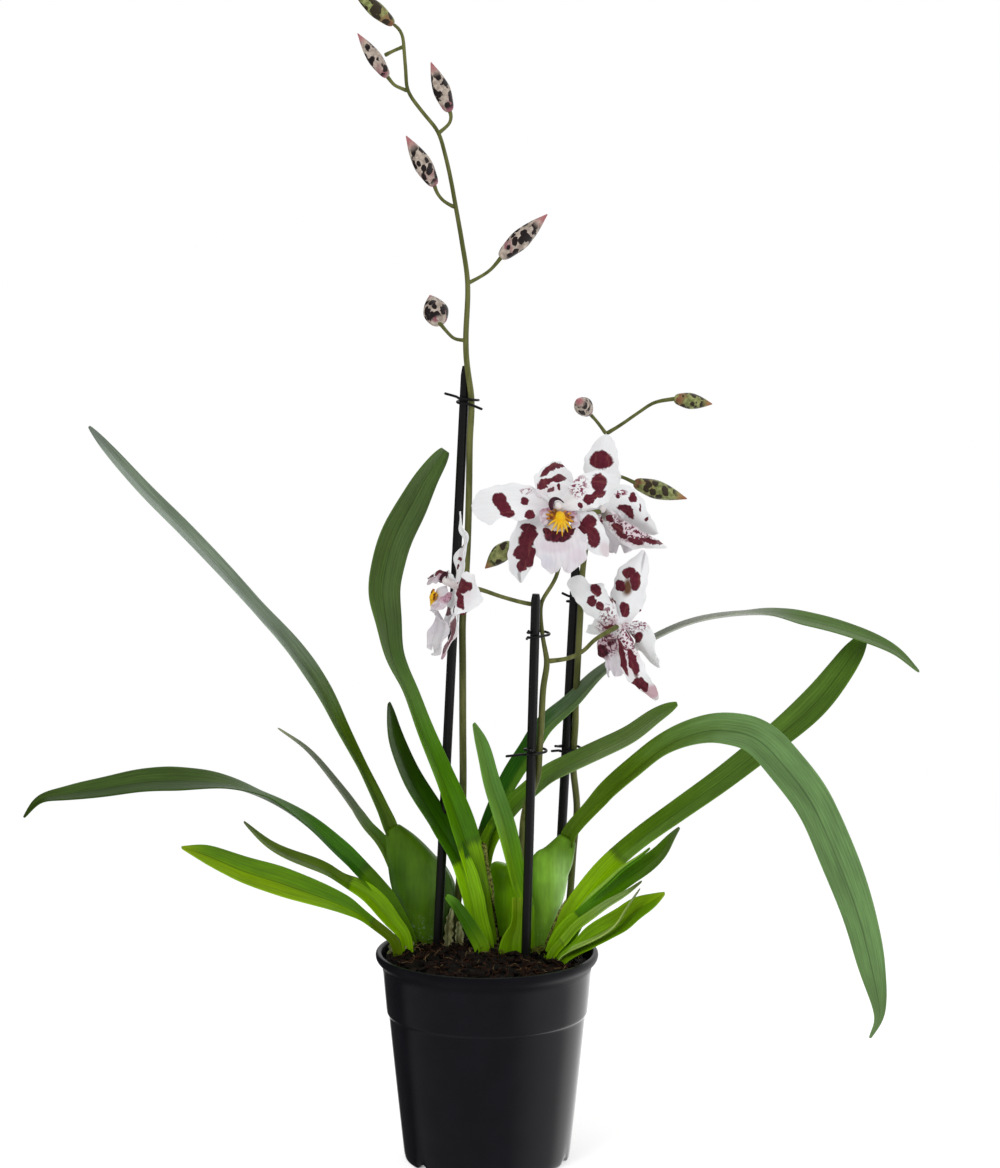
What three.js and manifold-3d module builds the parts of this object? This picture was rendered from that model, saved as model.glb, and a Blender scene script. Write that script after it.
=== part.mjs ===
// Potted odontonia orchid in a black nursery pot.
// Millimetres, +Z up. The origin is the centre of the pot's base, on the surface it stands on.
// +X is the plant's right and +Y is its back.
import * as THREE from 'three';
import { mergeVertices } from 'three/addons/utils/BufferGeometryUtils.js';
import Module from 'manifold-3d';

const wasm = await Module();
wasm.setup();

// Driving dimensions
const POT_HEIGHT = 115;
const RIM_RADIUS = 60;
const BASE_RADIUS = 45;
const STEP_HEIGHT = 82;
const WALL = 1.3;
const FLOOR = 2.2;
const GAP = 0.3;
const SOIL_TOP = 109.5;
const SOIL_HEAP = 5;
const SOIL_SLOPE = 0.04;
const SOIL_RELIEF = 1.6;
const STAKE_RADIUS = 2.5;
const STAKE_DEPTH = 70;
const LEAF_THICKNESS = 1.0;
const TEPAL_THICKNESS = 0.9;
const TIE_WIRE = 0.75;
const ROOT_DEPTH = 96;
const POT_SEGMENTS = 40;
const SOIL_SEGMENTS = 24;
const BARK_CHIPS = 13;
const SMOOTHING = 0.03;

// Finishes
const finish = (color, roughness, metalness = 0) =>
  new THREE.MeshStandardMaterial({ color, roughness, metalness });
const MATERIALS = {
  pot: finish('#1e1f22', 0.35),
  soil: finish('#2a1a12', 0.95),
  stake: finish('#1b1a1c', 0.45),
  tie: finish('#101012', 0.4),
  bulb: finish('#4d7a34', 0.4),
  leaf: finish('#3f6f2f', 0.45),
  sheath: finish('#7fa52c', 0.5),
  stem: finish('#7f8f45', 0.5),
  bud: finish('#a9a37e', 0.55),
  tepal: finish('#efeaec', 0.6),
  lip: finish('#e3d5e2', 0.6),
};

// Smooth value at u from a few [u, value] keys, by cubic Hermite spans
function keyed(keys, u) {
  const last = keys.length - 1;
  if (u <= keys[0][0]) return keys[0][1];
  if (u >= keys[last][0]) return keys[last][1];
  let i = 0;
  while (u > keys[i + 1][0]) i += 1;
  const slope = (k) => {
    const a = keys[Math.max(k - 1, 0)];
    const b = keys[Math.min(k + 1, last)];
    return (b[1] - a[1]) / (b[0] - a[0]);
  };
  const span = keys[i + 1][0] - keys[i][0];
  const t = (u - keys[i][0]) / span;
  const t2 = t * t;
  const t3 = t2 * t;
  return (2 * t3 - 3 * t2 + 1) * keys[i][1]
    + (t3 - 2 * t2 + t) * span * slope(i)
    + (3 * t2 - 2 * t3) * keys[i + 1][1]
    + (t3 - t2) * span * slope(i + 1);
}

// Straight-line value at u from a few [u, number] keys
function ramp(keys, u) {
  if (u <= keys[0][0]) return keys[0][1];
  for (let i = 1; i < keys.length; i += 1) {
    if (u <= keys[i][0]) {
      const t = (u - keys[i - 1][0]) / (keys[i][0] - keys[i - 1][0]);
      return THREE.MathUtils.lerp(keys[i - 1][1], keys[i][1], t);
    }
  }
  return keys[keys.length - 1][1];
}

// Curve through hand-chosen points, spaced by chord length
class Route extends THREE.Curve {
  constructor(points) {
    super();
    const at = [0];
    for (let i = 1; i < points.length; i += 1) {
      const [a, b] = [points[i - 1], points[i]];
      at.push(at[i - 1] + Math.hypot(b[0] - a[0], b[1] - a[1], b[2] - a[2]));
    }
    const total = at[at.length - 1];
    this.axes = [0, 1, 2].map((axis) => points.map((p, i) => [at[i] / total, p[axis]]));
    this.total = total;
  }

  getPoint(t, target = new THREE.Vector3()) {
    return target.set(...this.axes.map((keys) => keyed(keys, t)));
  }

  getTangent(t, target = new THREE.Vector3()) {
    const step = 0.002;
    const a = this.getPoint(Math.max(t - step, 0));
    const b = this.getPoint(Math.min(t + step, 1));
    return target.copy(b).sub(a).normalize();
  }
}

// Tangent, side and face directions of a route at u
function frameAt(route, facing, u) {
  const tangent = route.getTangent(u);
  const aim = new THREE.Vector3(
    ramp(facing.map(([k, v]) => [k, v[0]]), u),
    ramp(facing.map(([k, v]) => [k, v[1]]), u),
    ramp(facing.map(([k, v]) => [k, v[2]]), u),
  );
  const side = tangent.clone().cross(aim).normalize();
  const face = side.clone().cross(tangent).normalize();
  return { centre: route.getPoint(u), tangent, side, face };
}

// Thin blade: two faces split alike, closed round the edge and at both ends
function bladeGeometry(blade, grow = 0) {
  const { route, facing, halfWidth, fold, thickness, along, across, ruffle = 0 } = blade;
  const { left = halfWidth, right = halfWidth } = blade;
  const positions = [];
  const indices = [];
  const row = across + 1;
  const layer = (along + 1) * row;
  for (const top of [1, -1]) {
    for (let i = 0; i <= along; i += 1) {
      const u = i / along;
      const { centre, tangent, side, face } = frameAt(route, facing, u);
      if (i === 0) centre.addScaledVector(tangent, -grow);
      if (i === along) centre.addScaledVector(tangent, grow);
      const widths = [left, right].map((keys) => Math.max(keyed(keys, u), 0.5) + grow);
      const middle = (widths[0] + widths[1]) / 2;
      const angle = THREE.MathUtils.degToRad(ramp(fold, u));
      for (let j = 0; j <= across; j += 1) {
        const v = (2 * j) / across - 1;
        const half = thickness * 0.5 * (1.2 - 0.4 * Math.abs(v)) + grow;
        const wave = ruffle * v * v * Math.sin(u * 15 + (v > 0 ? 0.9 : 2.6)) * Math.sin(Math.PI * u);
        const out = v === 0
          ? face.clone().multiplyScalar(Math.min(1 / Math.cos(angle), 2))
          : face.clone().multiplyScalar(Math.cos(angle))
            .addScaledVector(side, -Math.sign(v) * Math.sin(angle));
        const point = centre.clone()
          .addScaledVector(side, v * widths[v < 0 ? 0 : 1] * Math.cos(angle))
          .addScaledVector(face, (Math.abs(v) - 0.5) * middle * Math.sin(angle) + wave)
          .addScaledVector(out, top * half);
        positions.push(point.x, point.y, point.z);
      }
    }
  }
  const quad = (a, b, c, d) => indices.push(a, b, c, a, c, d);
  for (let i = 0; i < along; i += 1) {
    for (let j = 0; j < across; j += 1) {
      const a = i * row + j;
      const [b, c, d] = [a + 1, a + row + 1, a + row];
      indices.push(a, b, c, a, c, d);
      indices.push(a + layer, c + layer, b + layer, a + layer, d + layer, c + layer);
    }
    const left = i * row;
    quad(left, left + row, left + row + layer, left + layer);
    const right = left + across;
    quad(right, right + layer, right + row + layer, right + row);
  }
  for (let j = 0; j < across; j += 1) {
    quad(j, j + layer, j + 1 + layer, j + 1);
    const end = along * row + j;
    quad(end, end + 1, end + 1 + layer, end + layer);
  }
  const geometry = new THREE.BufferGeometry();
  geometry.setAttribute('position', new THREE.Float32BufferAttribute(positions, 3));
  geometry.setIndex(indices);
  return geometry;
}

// Closed round or flattened tube: a cylinder bent along a route
function tubeGeometry(tube, grow = 0) {
  const { route, radius, sides, steps, flat = 1, facing = [[0, [0.05, -1, 0.02]]] } = tube;
  const geometry = new THREE.CylinderGeometry(1, 1, 1, sides, steps);
  const position = geometry.getAttribute('position');
  for (let i = 0; i < position.count; i += 1) {
    const u = position.getY(i) + 0.5;
    const { centre, tangent, side, face } = frameAt(route, facing, u);
    if (u < 1e-6) centre.addScaledVector(tangent, -grow);
    if (u > 1 - 1e-6) centre.addScaledVector(tangent, grow);
    const r = keyed(radius, u);
    centre.addScaledVector(side, position.getX(i) * (r + grow));
    centre.addScaledVector(face, position.getZ(i) * (r * flat + grow));
    position.setXYZ(i, centre.x, centre.y, centre.z);
  }
  return geometry;
}

// Closed geometry to a solid that can be joined and cut
function toSolid(geometry) {
  geometry.deleteAttribute('normal');
  geometry.deleteAttribute('uv');
  const merged = mergeVertices(geometry, 1e-4);
  let triVerts = Uint32Array.from(merged.index.array);
  const vertProperties = Float32Array.from(merged.getAttribute('position').array);
  const kept = [];
  for (let i = 0; i < triVerts.length; i += 3) {
    const [a, b, c] = triVerts.subarray(i, i + 3);
    if (a !== b && b !== c && a !== c) kept.push(a, b, c);
  }
  triVerts = Uint32Array.from(kept);
  const solid = new wasm.Manifold(new wasm.Mesh({ numProp: 3, vertProperties, triVerts }));
  if (solid.volume() > 0) return solid;
  for (let i = 0; i < triVerts.length; i += 3) {
    [triVerts[i], triVerts[i + 1]] = [triVerts[i + 1], triVerts[i]];
  }
  return new wasm.Manifold(new wasm.Mesh({ numProp: 3, vertProperties, triVerts }));
}

const largest = (solid) =>
  solid.decompose().reduce((a, b) => (b.volume() > a.volume() ? b : a));

const join = (solids) => solids.reduce((a, b) => a.add(b));

function toMesh(solid, name, material) {
  const mesh = solid.getMesh();
  const geometry = new THREE.BufferGeometry();
  geometry.setAttribute('position', new THREE.BufferAttribute(mesh.vertProperties, 3));
  geometry.setIndex(new THREE.BufferAttribute(mesh.triVerts, 1));
  geometry.computeVertexNormals();
  const result = new THREE.Mesh(geometry, MATERIALS[material]);
  result.name = name;
  return result;
}

// Small repeatable random numbers
function seeded(seed) {
  let state = seed;
  return () => {
    state = (state * 1664525 + 1013904223) % 4294967296;
    return state / 4294967296;
  };
}

// Pot: a turned thin wall with a rolled lip, a step and drain notches round the base
function pot() {
  const profile = [
    [0, 0], [BASE_RADIUS - 1.2, 0], [BASE_RADIUS, 1.4],
    [53.1, STEP_HEIGHT - 1.6], [54.3, STEP_HEIGHT], [56.3, 106.5],
    [57.3, 108.5], [59.2, 110.3], [RIM_RADIUS, 112.3], [RIM_RADIUS, 113.9],
    [59.1, POT_HEIGHT], [57.4, POT_HEIGHT], [56.4, 113.6],
    [56.3 - WALL, 106.5], [54.3 - WALL, STEP_HEIGHT + 0.6], [53.1 - WALL, STEP_HEIGHT - 2],
    [BASE_RADIUS - WALL, FLOOR], [0, FLOOR],
  ].map(([r, z]) => new THREE.Vector2(r, z));
  const wall = toSolid(new THREE.LatheGeometry(profile, POT_SEGMENTS).rotateX(Math.PI / 2));
  const notches = [-20, 40, 100, 160, 220, 280].map((degrees) => {
    const box = new THREE.BoxGeometry(7, 8, 6);
    box.translate(BASE_RADIUS - 1, 0, 0).rotateZ(THREE.MathUtils.degToRad(degrees));
    return toSolid(box);
  });
  return wall.subtract(join(notches));
}

// Growing medium: bark and peat filling the pot, heaped and rough on top, with bark chips
function heapHeight(x, y) {
  const r = Math.hypot(x, y) / 54;
  const rough = Math.sin(x * 0.62 + y * 0.21) * Math.cos(y * 0.55 - x * 0.17)
    + 0.6 * Math.sin(x * 1.3 - y * 0.9) * Math.sin(y * 1.1 + 2);
  return SOIL_TOP + SOIL_HEAP * (1 - r * r) - SOIL_SLOPE * x + SOIL_RELIEF * rough * (1 - 0.5 * r);
}

function growingMedium() {
  const gap = GAP + 0.05;
  const rings = [0, 9, 18, 27, 36, 45, 56.3 - WALL - gap - 0.6];
  const profile = rings.map((r) => new THREE.Vector2(r, SOIL_TOP));
  profile.push(
    new THREE.Vector2(56.1 - WALL - gap, SOIL_TOP - 3),
    new THREE.Vector2(54.3 - WALL - gap, STEP_HEIGHT + 1),
    new THREE.Vector2(53 - WALL - gap, STEP_HEIGHT - 2),
    new THREE.Vector2(BASE_RADIUS - WALL - gap, FLOOR + gap),
    new THREE.Vector2(0, FLOOR + gap),
  );
  const geometry = new THREE.LatheGeometry(profile, SOIL_SEGMENTS).rotateX(Math.PI / 2);
  const position = geometry.getAttribute('position');
  for (let i = 0; i < position.count; i += 1) {
    const [x, y, z] = [position.getX(i), position.getY(i), position.getZ(i)];
    if (z > SOIL_TOP - 1) position.setZ(i, heapHeight(x, y));
  }
  const random = seeded(7);
  const chips = [];
  for (let i = 0; i < BARK_CHIPS; i += 1) {
    const angle = random() * Math.PI * 2;
    const r = 12 + 37 * Math.sqrt(random());
    const size = 5 + 5 * random();
    const chip = new THREE.BoxGeometry(size, size * 0.6, 3.2);
    chip.rotateX(random() - 0.5).rotateY(random() - 0.5).rotateZ(random() * 6);
    const [x, y] = [r * Math.cos(angle), r * Math.sin(angle)];
    chip.translate(x, y, heapHeight(x, y) + 0.4);
    chips.push(toSolid(chip));
  }
  return toSolid(geometry).add(join(chips));
}

// Stakes: straight rods pushed deep into the growing medium
const STAKES = {
  stake_left: { foot: [-30.5, 11, 112 - STAKE_DEPTH], head: [-11, 11, 430] },
  stake_front: { foot: [19, -8, 112 - STAKE_DEPTH], head: [26, -8, 311] },
  stake_rear: { foot: [34, 28, 112 - STAKE_DEPTH], head: [48, 44, 317] },
};
const stakePart = ({ foot, head }) => (grow) => toSolid(tubeGeometry({
  route: new Route([foot, head]),
  radius: [[0, STAKE_RADIUS], [1, STAKE_RADIUS]],
  sides: 12,
  steps: 1,
}, grow));

function onStake({ foot, head }, z) {
  const t = (z - foot[2]) / (head[2] - foot[2]);
  return foot.map((value, axis) => THREE.MathUtils.lerp(value, head[axis], t));
}

// Pseudobulbs: flattened swollen stems, wide across the plant
const BULBS = {
  pseudobulb_left: {
    points: [[-33.5, 21, ROOT_DEPTH], [-33.6, 21, 117], [-34.2, 21, 136], [-35, 21, 144], [-39.5, 20.5, 154.5],
      [-46, 19.5, 168.5], [-51.5, 18, 179]],
    radius: [[0, 5.5], [0.19, 7.9], [0.36, 12.4], [0.46, 15.3], [0.54, 16.5], [0.63, 15.7], [0.75, 12.8],
      [0.87, 9.2], [1, 4]],
  },
  pseudobulb_rear_left: {
    points: [[-24, 38, ROOT_DEPTH], [-25, 38, 122], [-27, 37, 145], [-29, 37, 158]],
    radius: [[0, 7], [0.4, 10.5], [0.75, 9], [1, 3]],
  },
  pseudobulb_centre: {
    points: [[10, 36, ROOT_DEPTH], [10, 36, 107], [10.5, 36, 123], [9.5, 36, 144], [10, 35, 150], [11.5, 35, 154]],
    radius: [[0, 7.9], [0.82, 10.6], [0.93, 9.9], [1, 6.2]],
  },
  pseudobulb_right: {
    points: [[28, 14, ROOT_DEPTH], [28.6, 14, 114], [30.2, 14, 131], [31.6, 14, 143.5], [33.2, 14, 156],
      [38, 14, 163], [43.8, 14, 174]],
    radius: [[0, 3.2], [0.22, 3.8], [0.33, 5.8], [0.44, 8.2], [0.59, 10.6], [0.72, 11.5], [0.79, 10.9],
      [0.86, 8.9], [1, 4.8]],
  },
};
const bulbPart = ({ points, radius }) => (grow) => toSolid(tubeGeometry({
  route: new Route(points),
  radius,
  flat: 0.55,
  sides: 12,
  steps: 7,
}, grow));

// Leaves: midrib points, half widths, fold of the two halves and the way the upper face looks.
// Each list of keys runs from the root, 0, to the tip, 1.
const LEAVES = {
  leaf_01: {
    points: [[-51, 18, 175], [-56, 18, 188], [-67, 20, 210], [-78, 22, 231], [-89, 23, 253],
      [-104, 25, 275], [-123, 28, 296], [-142, 31, 317], [-163, 34, 339], [-184, 37, 360], [-203, 40, 381],
      [-214, 42, 394]],
    halfWidth: [[0, 4.6], [0.02, 5.1], [0.05, 4.1], [0.14, 4.8], [0.31, 7.5], [0.46, 7.8], [0.7, 7],
      [0.9, 5], [0.97, 3], [1, 0.8]],
    fold: [[0, 34], [0.05, 30], [0.14, 33], [0.61, 18], [1, 12]],
    facing: [[0, [0.35, -0.9, 0.2]], [0.05, [0.35, -0.9, 0.2]], [0.14, [0.73, -0.52, 0.43]],
      [0.36, [0.61, -0.56, 0.56]], [0.52, [0.68, -0.34, 0.63]], [1, [0.5, -0.6, 0.6]]],
    along: 12,
  },
  leaf_02: {
    points: [[-40, 11, ROOT_DEPTH], [-41, 11, 118], [-52, 9, 140], [-59, 7, 148], [-72, 0, 164], [-77, -3, 169],
      [-97, -11, 189], [-118, -19, 204], [-139, -27, 213], [-159, -34, 216], [-180, -42, 217],
      [-200, -49, 215], [-220, -55, 213], [-233, -59, 211], [-241, -62, 202]],
    halfWidth: [[0, 3.1], [0.12, 3.7], [0.21, 6.2], [0.28, 6.4], [0.31, 8.3], [0.65, 9.8], [0.86, 7.2],
      [0.96, 3], [1, 0.7]],
    fold: [[0, 34], [0.28, 30], [0.31, 33], [0.45, 18], [1, 14]],
    facing: [[0, [0.45, -0.75, 0.5]], [0.28, [0.45, -0.75, 0.5]], [0.31, [0.53, -0.52, 0.65]],
      [0.51, [0.3, 0.1, 1]], [0.6, [0, -0.25, 0.95]], [0.7, [0, -0.6, 0.85]], [1, [-0.4, -0.5, 0.7]]],
    along: 15,
  },
  leaf_03: {
    points: [[-42, 25, ROOT_DEPTH], [-43, 25, 134], [-48, 26, 149], [-54, 29, 163], [-59, 31, 170], [-65, 32, 176],
      [-72, 38, 184], [-80, 43, 194], [-98, 52, 214], [-115, 60, 225]],
    halfWidth: [[0, 3.9], [0.33, 5.4], [0.43, 5.1], [0.53, 3.8], [0.61, 6], [0.66, 6], [0.9, 3.5],
      [1, 0.8]],
    fold: [[0, 34], [0.53, 30], [0.61, 25], [1, 18]],
    facing: [[0, [0.5, -0.8, 0.3]], [0.53, [0.5, -0.8, 0.3]], [0.61, [0.6, -0.1, 0.75]],
      [1, [0.5, 0, 0.85]]],
    along: 8,
  },
  leaf_04: {
    points: [[-43, 2, ROOT_DEPTH], [-44, 2, 121], [-50, 2, 129], [-64, 0, 146], [-78, -3, 155], [-87, -9, 162],
      [-108, -15, 172], [-118, -18, 179], [-129, -22, 191]],
    halfWidth: [[0, 3.8], [0.18, 4.5], [0.33, 6.9], [0.47, 5.6], [0.53, 3.9], [0.62, 6.1], [0.75, 5.5],
      [0.9, 3.5], [1, 0.8]],
    fold: [[0, 34], [0.53, 30], [0.62, 20], [1, 16]],
    facing: [[0, [0.4, -0.75, 0.5]], [0.53, [0.4, -0.75, 0.5]], [0.62, [0.4, -0.35, 0.8]],
      [1, [0.5, -0.35, 0.75]]],
    along: 10,
  },
  leaf_05: {
    points: [[-48, -5, ROOT_DEPTH], [-49, -5, 119], [-60, -9, 131], [-75, -19, 144], [-107, -30, 159],
      [-128, -38, 168], [-148, -47, 179], [-160, -52, 184]],
    halfWidth: [[0, 3.1], [0.25, 3.7], [0.32, 4.4], [0.38, 6.5], [0.61, 9.6], [0.74, 9], [0.86, 7.4],
      [0.92, 5.8], [1, 0.7]],
    fold: [[0, 30], [0.38, 30], [0.61, 17], [1, 12]],
    facing: [[0, [0.35, -0.75, 0.55]], [1, [0.3, -0.65, 0.7]]],
    along: 11,
  },
  leaf_06: {
    points: [[1, 13, ROOT_DEPTH], [1, 13, 112], [-3, 12, 134], [-4, 10, 145], [-6, 10, 155], [-8, 8, 163],
      [-14, 4, 184], [-23, 0, 209], [-34, -2, 236], [-42, -3, 258], [-50, -3, 277], [-53, -1, 296],
      [-55, 1, 312], [-52, 3, 329], [-48, 5, 341], [-40, 8, 356], [-33, 11, 369], [-27, 13, 378],
      [-22, 14, 385]],
    halfWidth: [[0, 5.3], [0.19, 8.7], [0.62, 9.4], [0.82, 11.5], [0.89, 11.2], [0.98, 7], [1, 4]],
    fold: [[0, 36], [0.29, 30], [0.38, 23], [0.55, 26], [0.75, 12], [1, 10]],
    facing: [[0, [0.55, -0.82, 0.12]], [0.29, [0.55, -0.82, 0.12]], [0.38, [0.81, -0.57, 0.27]],
      [0.57, [0.95, -0.4, 0.3]], [0.72, [0.55, -0.8, 0.05]], [0.9, [0.5, -0.75, -0.35]],
      [1, [0.5, -0.7, -0.45]]],
    along: 16,
  },
  leaf_07: {
    points: [[-1, 4, ROOT_DEPTH], [-1, 4, 113], [-6, 4, 131], [-8, 3, 143], [-15, 3, 165], [-27, 4, 186],
      [-40, 2, 208], [-47, -3, 226], [-50, -5, 237], [-52, -9, 253]],
    halfWidth: [[0, 5.1], [0.1, 6], [0.15, 7.4], [0.35, 7.9], [0.42, 7.1], [0.49, 7.2], [0.56, 9.3],
      [0.85, 7], [0.95, 4], [1, 1]],
    fold: [[0, 34], [0.49, 30], [0.56, 22], [1, 12]],
    facing: [[0, [0.5, -0.84, 0.2]], [0.49, [0.5, -0.84, 0.2]], [0.56, [0.74, -0.56, 0.37]],
      [1, [0.8, -0.6, 0.05]]],
    along: 10,
  },
  leaf_08: {
    points: [[23, 2, ROOT_DEPTH], [22, 2, 120], [21, 2, 140], [17, 1, 152], [14, 0, 166], [11, -1, 179],
      [8, -3, 190], [2, -8, 210], [-2, -12, 228], [-7, -15, 243]],
    halfWidth: [[0, 4], [0.35, 5.6], [0.55, 7], [0.75, 6.3], [0.92, 4.6], [1, 1]],
    fold: [[0, 45], [0.35, 22], [1, 10]],
    facing: [[0, [0.55, -0.8, 0.05]], [0.5, [0.66, -0.72, 0.05]], [1, [0.7, -0.7, 0.1]]],
    along: 10,
  },
  leaf_09: {
    points: [[-2, 30, ROOT_DEPTH], [-3, 29, 119], [-3, 27, 147], [-2, 26, 164], [0, 25, 174], [6, 25, 189],
      [14, 26, 205], [23, 27, 219], [31, 28, 232], [46, 30, 245], [62, 33, 261], [91, 39, 279],
      [116, 45, 288], [149, 54, 290], [171, 58, 286], [196, 62, 279], [222, 64, 268], [237, 65, 255]],
    halfWidth: [[0, 5.5], [0.2, 7], [0.4, 9], [0.75, 9], [0.9, 7], [0.97, 3.6], [1, 0.8]],
    fold: [[0, 50], [0.2, 38], [0.35, 18], [0.6, 14], [1, 12]],
    facing: [[0, [-0.8, -0.55, 0.1]], [0.3, [-0.55, -0.62, 0.5]], [0.42, [-0.4, -0.35, 0.8]],
      [0.55, [-0.1, 0.12, 1]], [0.73, [0, 0.12, 1]], [0.8, [0.2, -0.3, 0.9]], [1, [0.5, -0.45, 0.7]]],
    along: 17,
  },
  leaf_10: {
    points: [[-2, 22, ROOT_DEPTH], [-3, 22, 121], [-2, 22, 143], [-1, 22, 160], [2, 21, 171], [8, 19, 182],
      [16, 15, 193], [24, 12, 201], [33, 11, 209], [43, 12, 214], [60, 13, 222], [77, 11, 231],
      [91, 9, 242], [102, 7, 249]],
    halfWidth: [[0, 5], [0.35, 7], [0.6, 7.4], [0.88, 6.8], [0.97, 4.5], [1, 1.5]],
    fold: [[0, 45], [0.4, 28], [1, 12]],
    facing: [[0, [-0.5, -0.8, 0.1]], [0.4, [-0.6, -0.7, 0.4]], [0.6, [-0.25, -0.6, 0.8]],
      [1, [-0.4, -0.6, 0.7]]],
    along: 12,
  },
  leaf_11: {
    points: [[43, 14, 170], [45, 12, 177], [56, 8, 191], [66, 5, 202], [77, 0, 213], [97, -10, 231],
      [118, -19, 240], [136, -27, 240], [145, -31, 236], [155, -36, 226], [170, -43, 207], [182, -50, 182],
      [194, -56, 151], [202, -61, 120], [206, -63, 96], [201, -64, 84]],
    halfWidth: [[0, 5.8], [0.08, 5.7], [0.13, 8.3], [0.29, 9.4], [0.43, 11.8], [0.67, 12.2], [0.8, 10],
      [0.88, 8], [1, 0.8]],
    fold: [[0, 32], [0.08, 30], [0.13, 34], [0.41, 16], [1, 10]],
    facing: [[0, [-0.4, -0.8, 0.45]], [0.08, [-0.4, -0.8, 0.45]], [0.13, [-0.41, -0.63, 0.67]],
      [0.26, [-0.3, -0.6, 0.8]], [0.43, [0.1, -0.72, 0.72]], [0.61, [0.55, -0.84, 0.2]],
      [0.85, [0.4, -0.9, 0.12]], [1, [0.4, -0.6, -0.3]]],
    along: 16,
  },
  leaf_12: {
    points: [[35, 4, ROOT_DEPTH], [36, 4, 114], [41, 4, 126], [45, 6, 134], [51, 8, 142], [65, 15, 157],
      [83, 24, 171], [105, 33, 185], [127, 41, 199], [149, 51, 214], [171, 61, 230], [183, 66, 241],
      [194, 71, 254], [202, 74.5, 265], [207, 77, 272.5]],
    halfWidth: [[0, 4.5], [0.23, 7.2], [0.37, 7], [0.7, 8.6], [0.82, 9.8], [0.92, 8.6], [0.97, 6.8],
      [1, 3.5]],
    fold: [[0, 34], [0.27, 30], [0.4, 20], [1, 10]],
    facing: [[0, [-0.35, -0.85, 0.4]], [0.37, [-0.43, -0.8, 0.47]], [0.7, [-0.35, -0.8, 0.55]],
      [1, [-0.6, -0.75, 0.3]]],
    along: 14,
  },
  leaf_13: {
    points: [[34, -3, ROOT_DEPTH], [36, -3, 112], [46, -3, 129], [52, -2, 136], [62, 4, 143], [78, 10, 154],
      [86, 12, 159], [94, 14, 166], [99, 16, 173], [104, 17, 179]],
    halfWidth: [[0, 5.4], [0.14, 6.4], [0.22, 7.8], [0.31, 7], [0.39, 4.4], [0.68, 6.2], [0.86, 5],
      [1, 0.8]],
    fold: [[0, 30], [0.51, 30], [0.68, 21], [1, 14]],
    facing: [[0, [-0.35, -0.85, 0.4]], [0.51, [-0.35, -0.85, 0.4]], [0.68, [-0.46, -0.71, 0.51]],
      [1, [-0.55, -0.65, 0.45]]],
    along: 10,
  },
  leaf_14: {
    points: [[35, 0, ROOT_DEPTH], [39, 1, 117], [47, 2, 131], [55, 4, 142], [65, 6, 151], [74, 8, 159],
      [82, 10, 164], [88, 11, 169]],
    halfWidth: [[0, 2.4], [0.5, 2.6], [0.85, 1.8], [1, 0.7]],
    fold: [[0, 40], [0.4, 28], [1, 14]],
    facing: [[0, [-0.6, -0.75, 0.3]], [0.5, [-0.45, -0.6, 0.65]], [1, [-0.45, -0.5, 0.75]]],
    along: 7,
  },
  leaf_15: {
    points: [[37, -11, ROOT_DEPTH], [39, -11, 112], [47, -12, 118], [56, -16, 126], [66, -21, 133], [73, -27, 139],
      [80, -33, 146], [87, -38, 151], [94, -42, 157]],
    halfWidth: [[0, 4.3], [0.17, 5.1], [0.28, 4.8], [0.41, 7.8], [0.67, 8.8], [0.79, 7.6], [0.92, 4.4],
      [1, 0.8]],
    fold: [[0, 24], [0.55, 24], [0.67, 16], [1, 10]],
    facing: [[0, [-0.35, -0.75, 0.6]], [1, [-0.4, -0.65, 0.65]]],
    along: 9,
  },
  leaf_16: {
    points: [[33, -7, ROOT_DEPTH], [39, -9, 113], [46, -13, 119], [55, -20, 125], [63, -26, 131], [69, -30, 137],
      [75, -36, 149], [81, -40, 159]],
    halfWidth: [[0, 2.8], [0.3, 3.2], [0.85, 2.4], [1, 0.7]],
    fold: [[0, 40], [0.4, 24], [1, 16]],
    facing: [[0, [-0.7, -0.3, 0.7]], [0.5, [-0.6, 0.1, 0.8]], [1, [-0.85, 0.15, 0.5]]],
    along: 7,
  },
  leaf_17: {
    points: [[-3, -4, ROOT_DEPTH], [-3, -4, 117], [-6, -4, 123], [-17, -7, 142], [-22, -8, 147]],
    halfWidth: [[0, 4.8], [0.37, 5.6], [0.9, 3.4], [1, 1.6]],
    fold: [[0, 24], [0.87, 24], [1, 16]],
    facing: [[0, [0.5, -0.8, 0.3]], [1, [0.55, -0.75, 0.35]]],
    along: 6,
  },
  leaf_18: {
    points: [[34, -7, ROOT_DEPTH], [35, -7, 114], [42, -7, 122], [48, -8, 130], [56, -8, 136], [64, -8, 142],
      [75, -9, 149], [83, -11, 156]],
    halfWidth: [[0, 3.6], [0.35, 4.6], [0.66, 4], [0.88, 2.4], [1, 0.7]],
    fold: [[0, 36], [1, 16]],
    facing: [[0, [-0.5, -0.6, 0.6]], [0.5, [-0.4, -0.45, 0.8]], [1, [-0.4, -0.3, 0.85]]],
    along: 7,
  },
  sheath_front: {
    points: [[12, -4, ROOT_DEPTH], [13, -4, 120], [16, -2, 130], [16, -2, 145]],
    halfWidth: [[0, 6.3], [0.36, 7.4], [0.48, 6.8], [0.7, 3.6], [1, 2.9]],
    fold: [[0, 24], [1, 24]],
    facing: [[0, [0.1, -1, 0.05]], [1, [0.1, -1, 0.05]]],
    along: 5,
    material: 'sheath',
  },
};
const leafBlade = (leaf) => ({
  across: 2,
  thickness: LEAF_THICKNESS,
  ...leaf,
  route: new Route(leaf.points),
});
const leafPart = (leaf) => (grow) => toSolid(bladeGeometry(leafBlade(leaf), grow));

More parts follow.
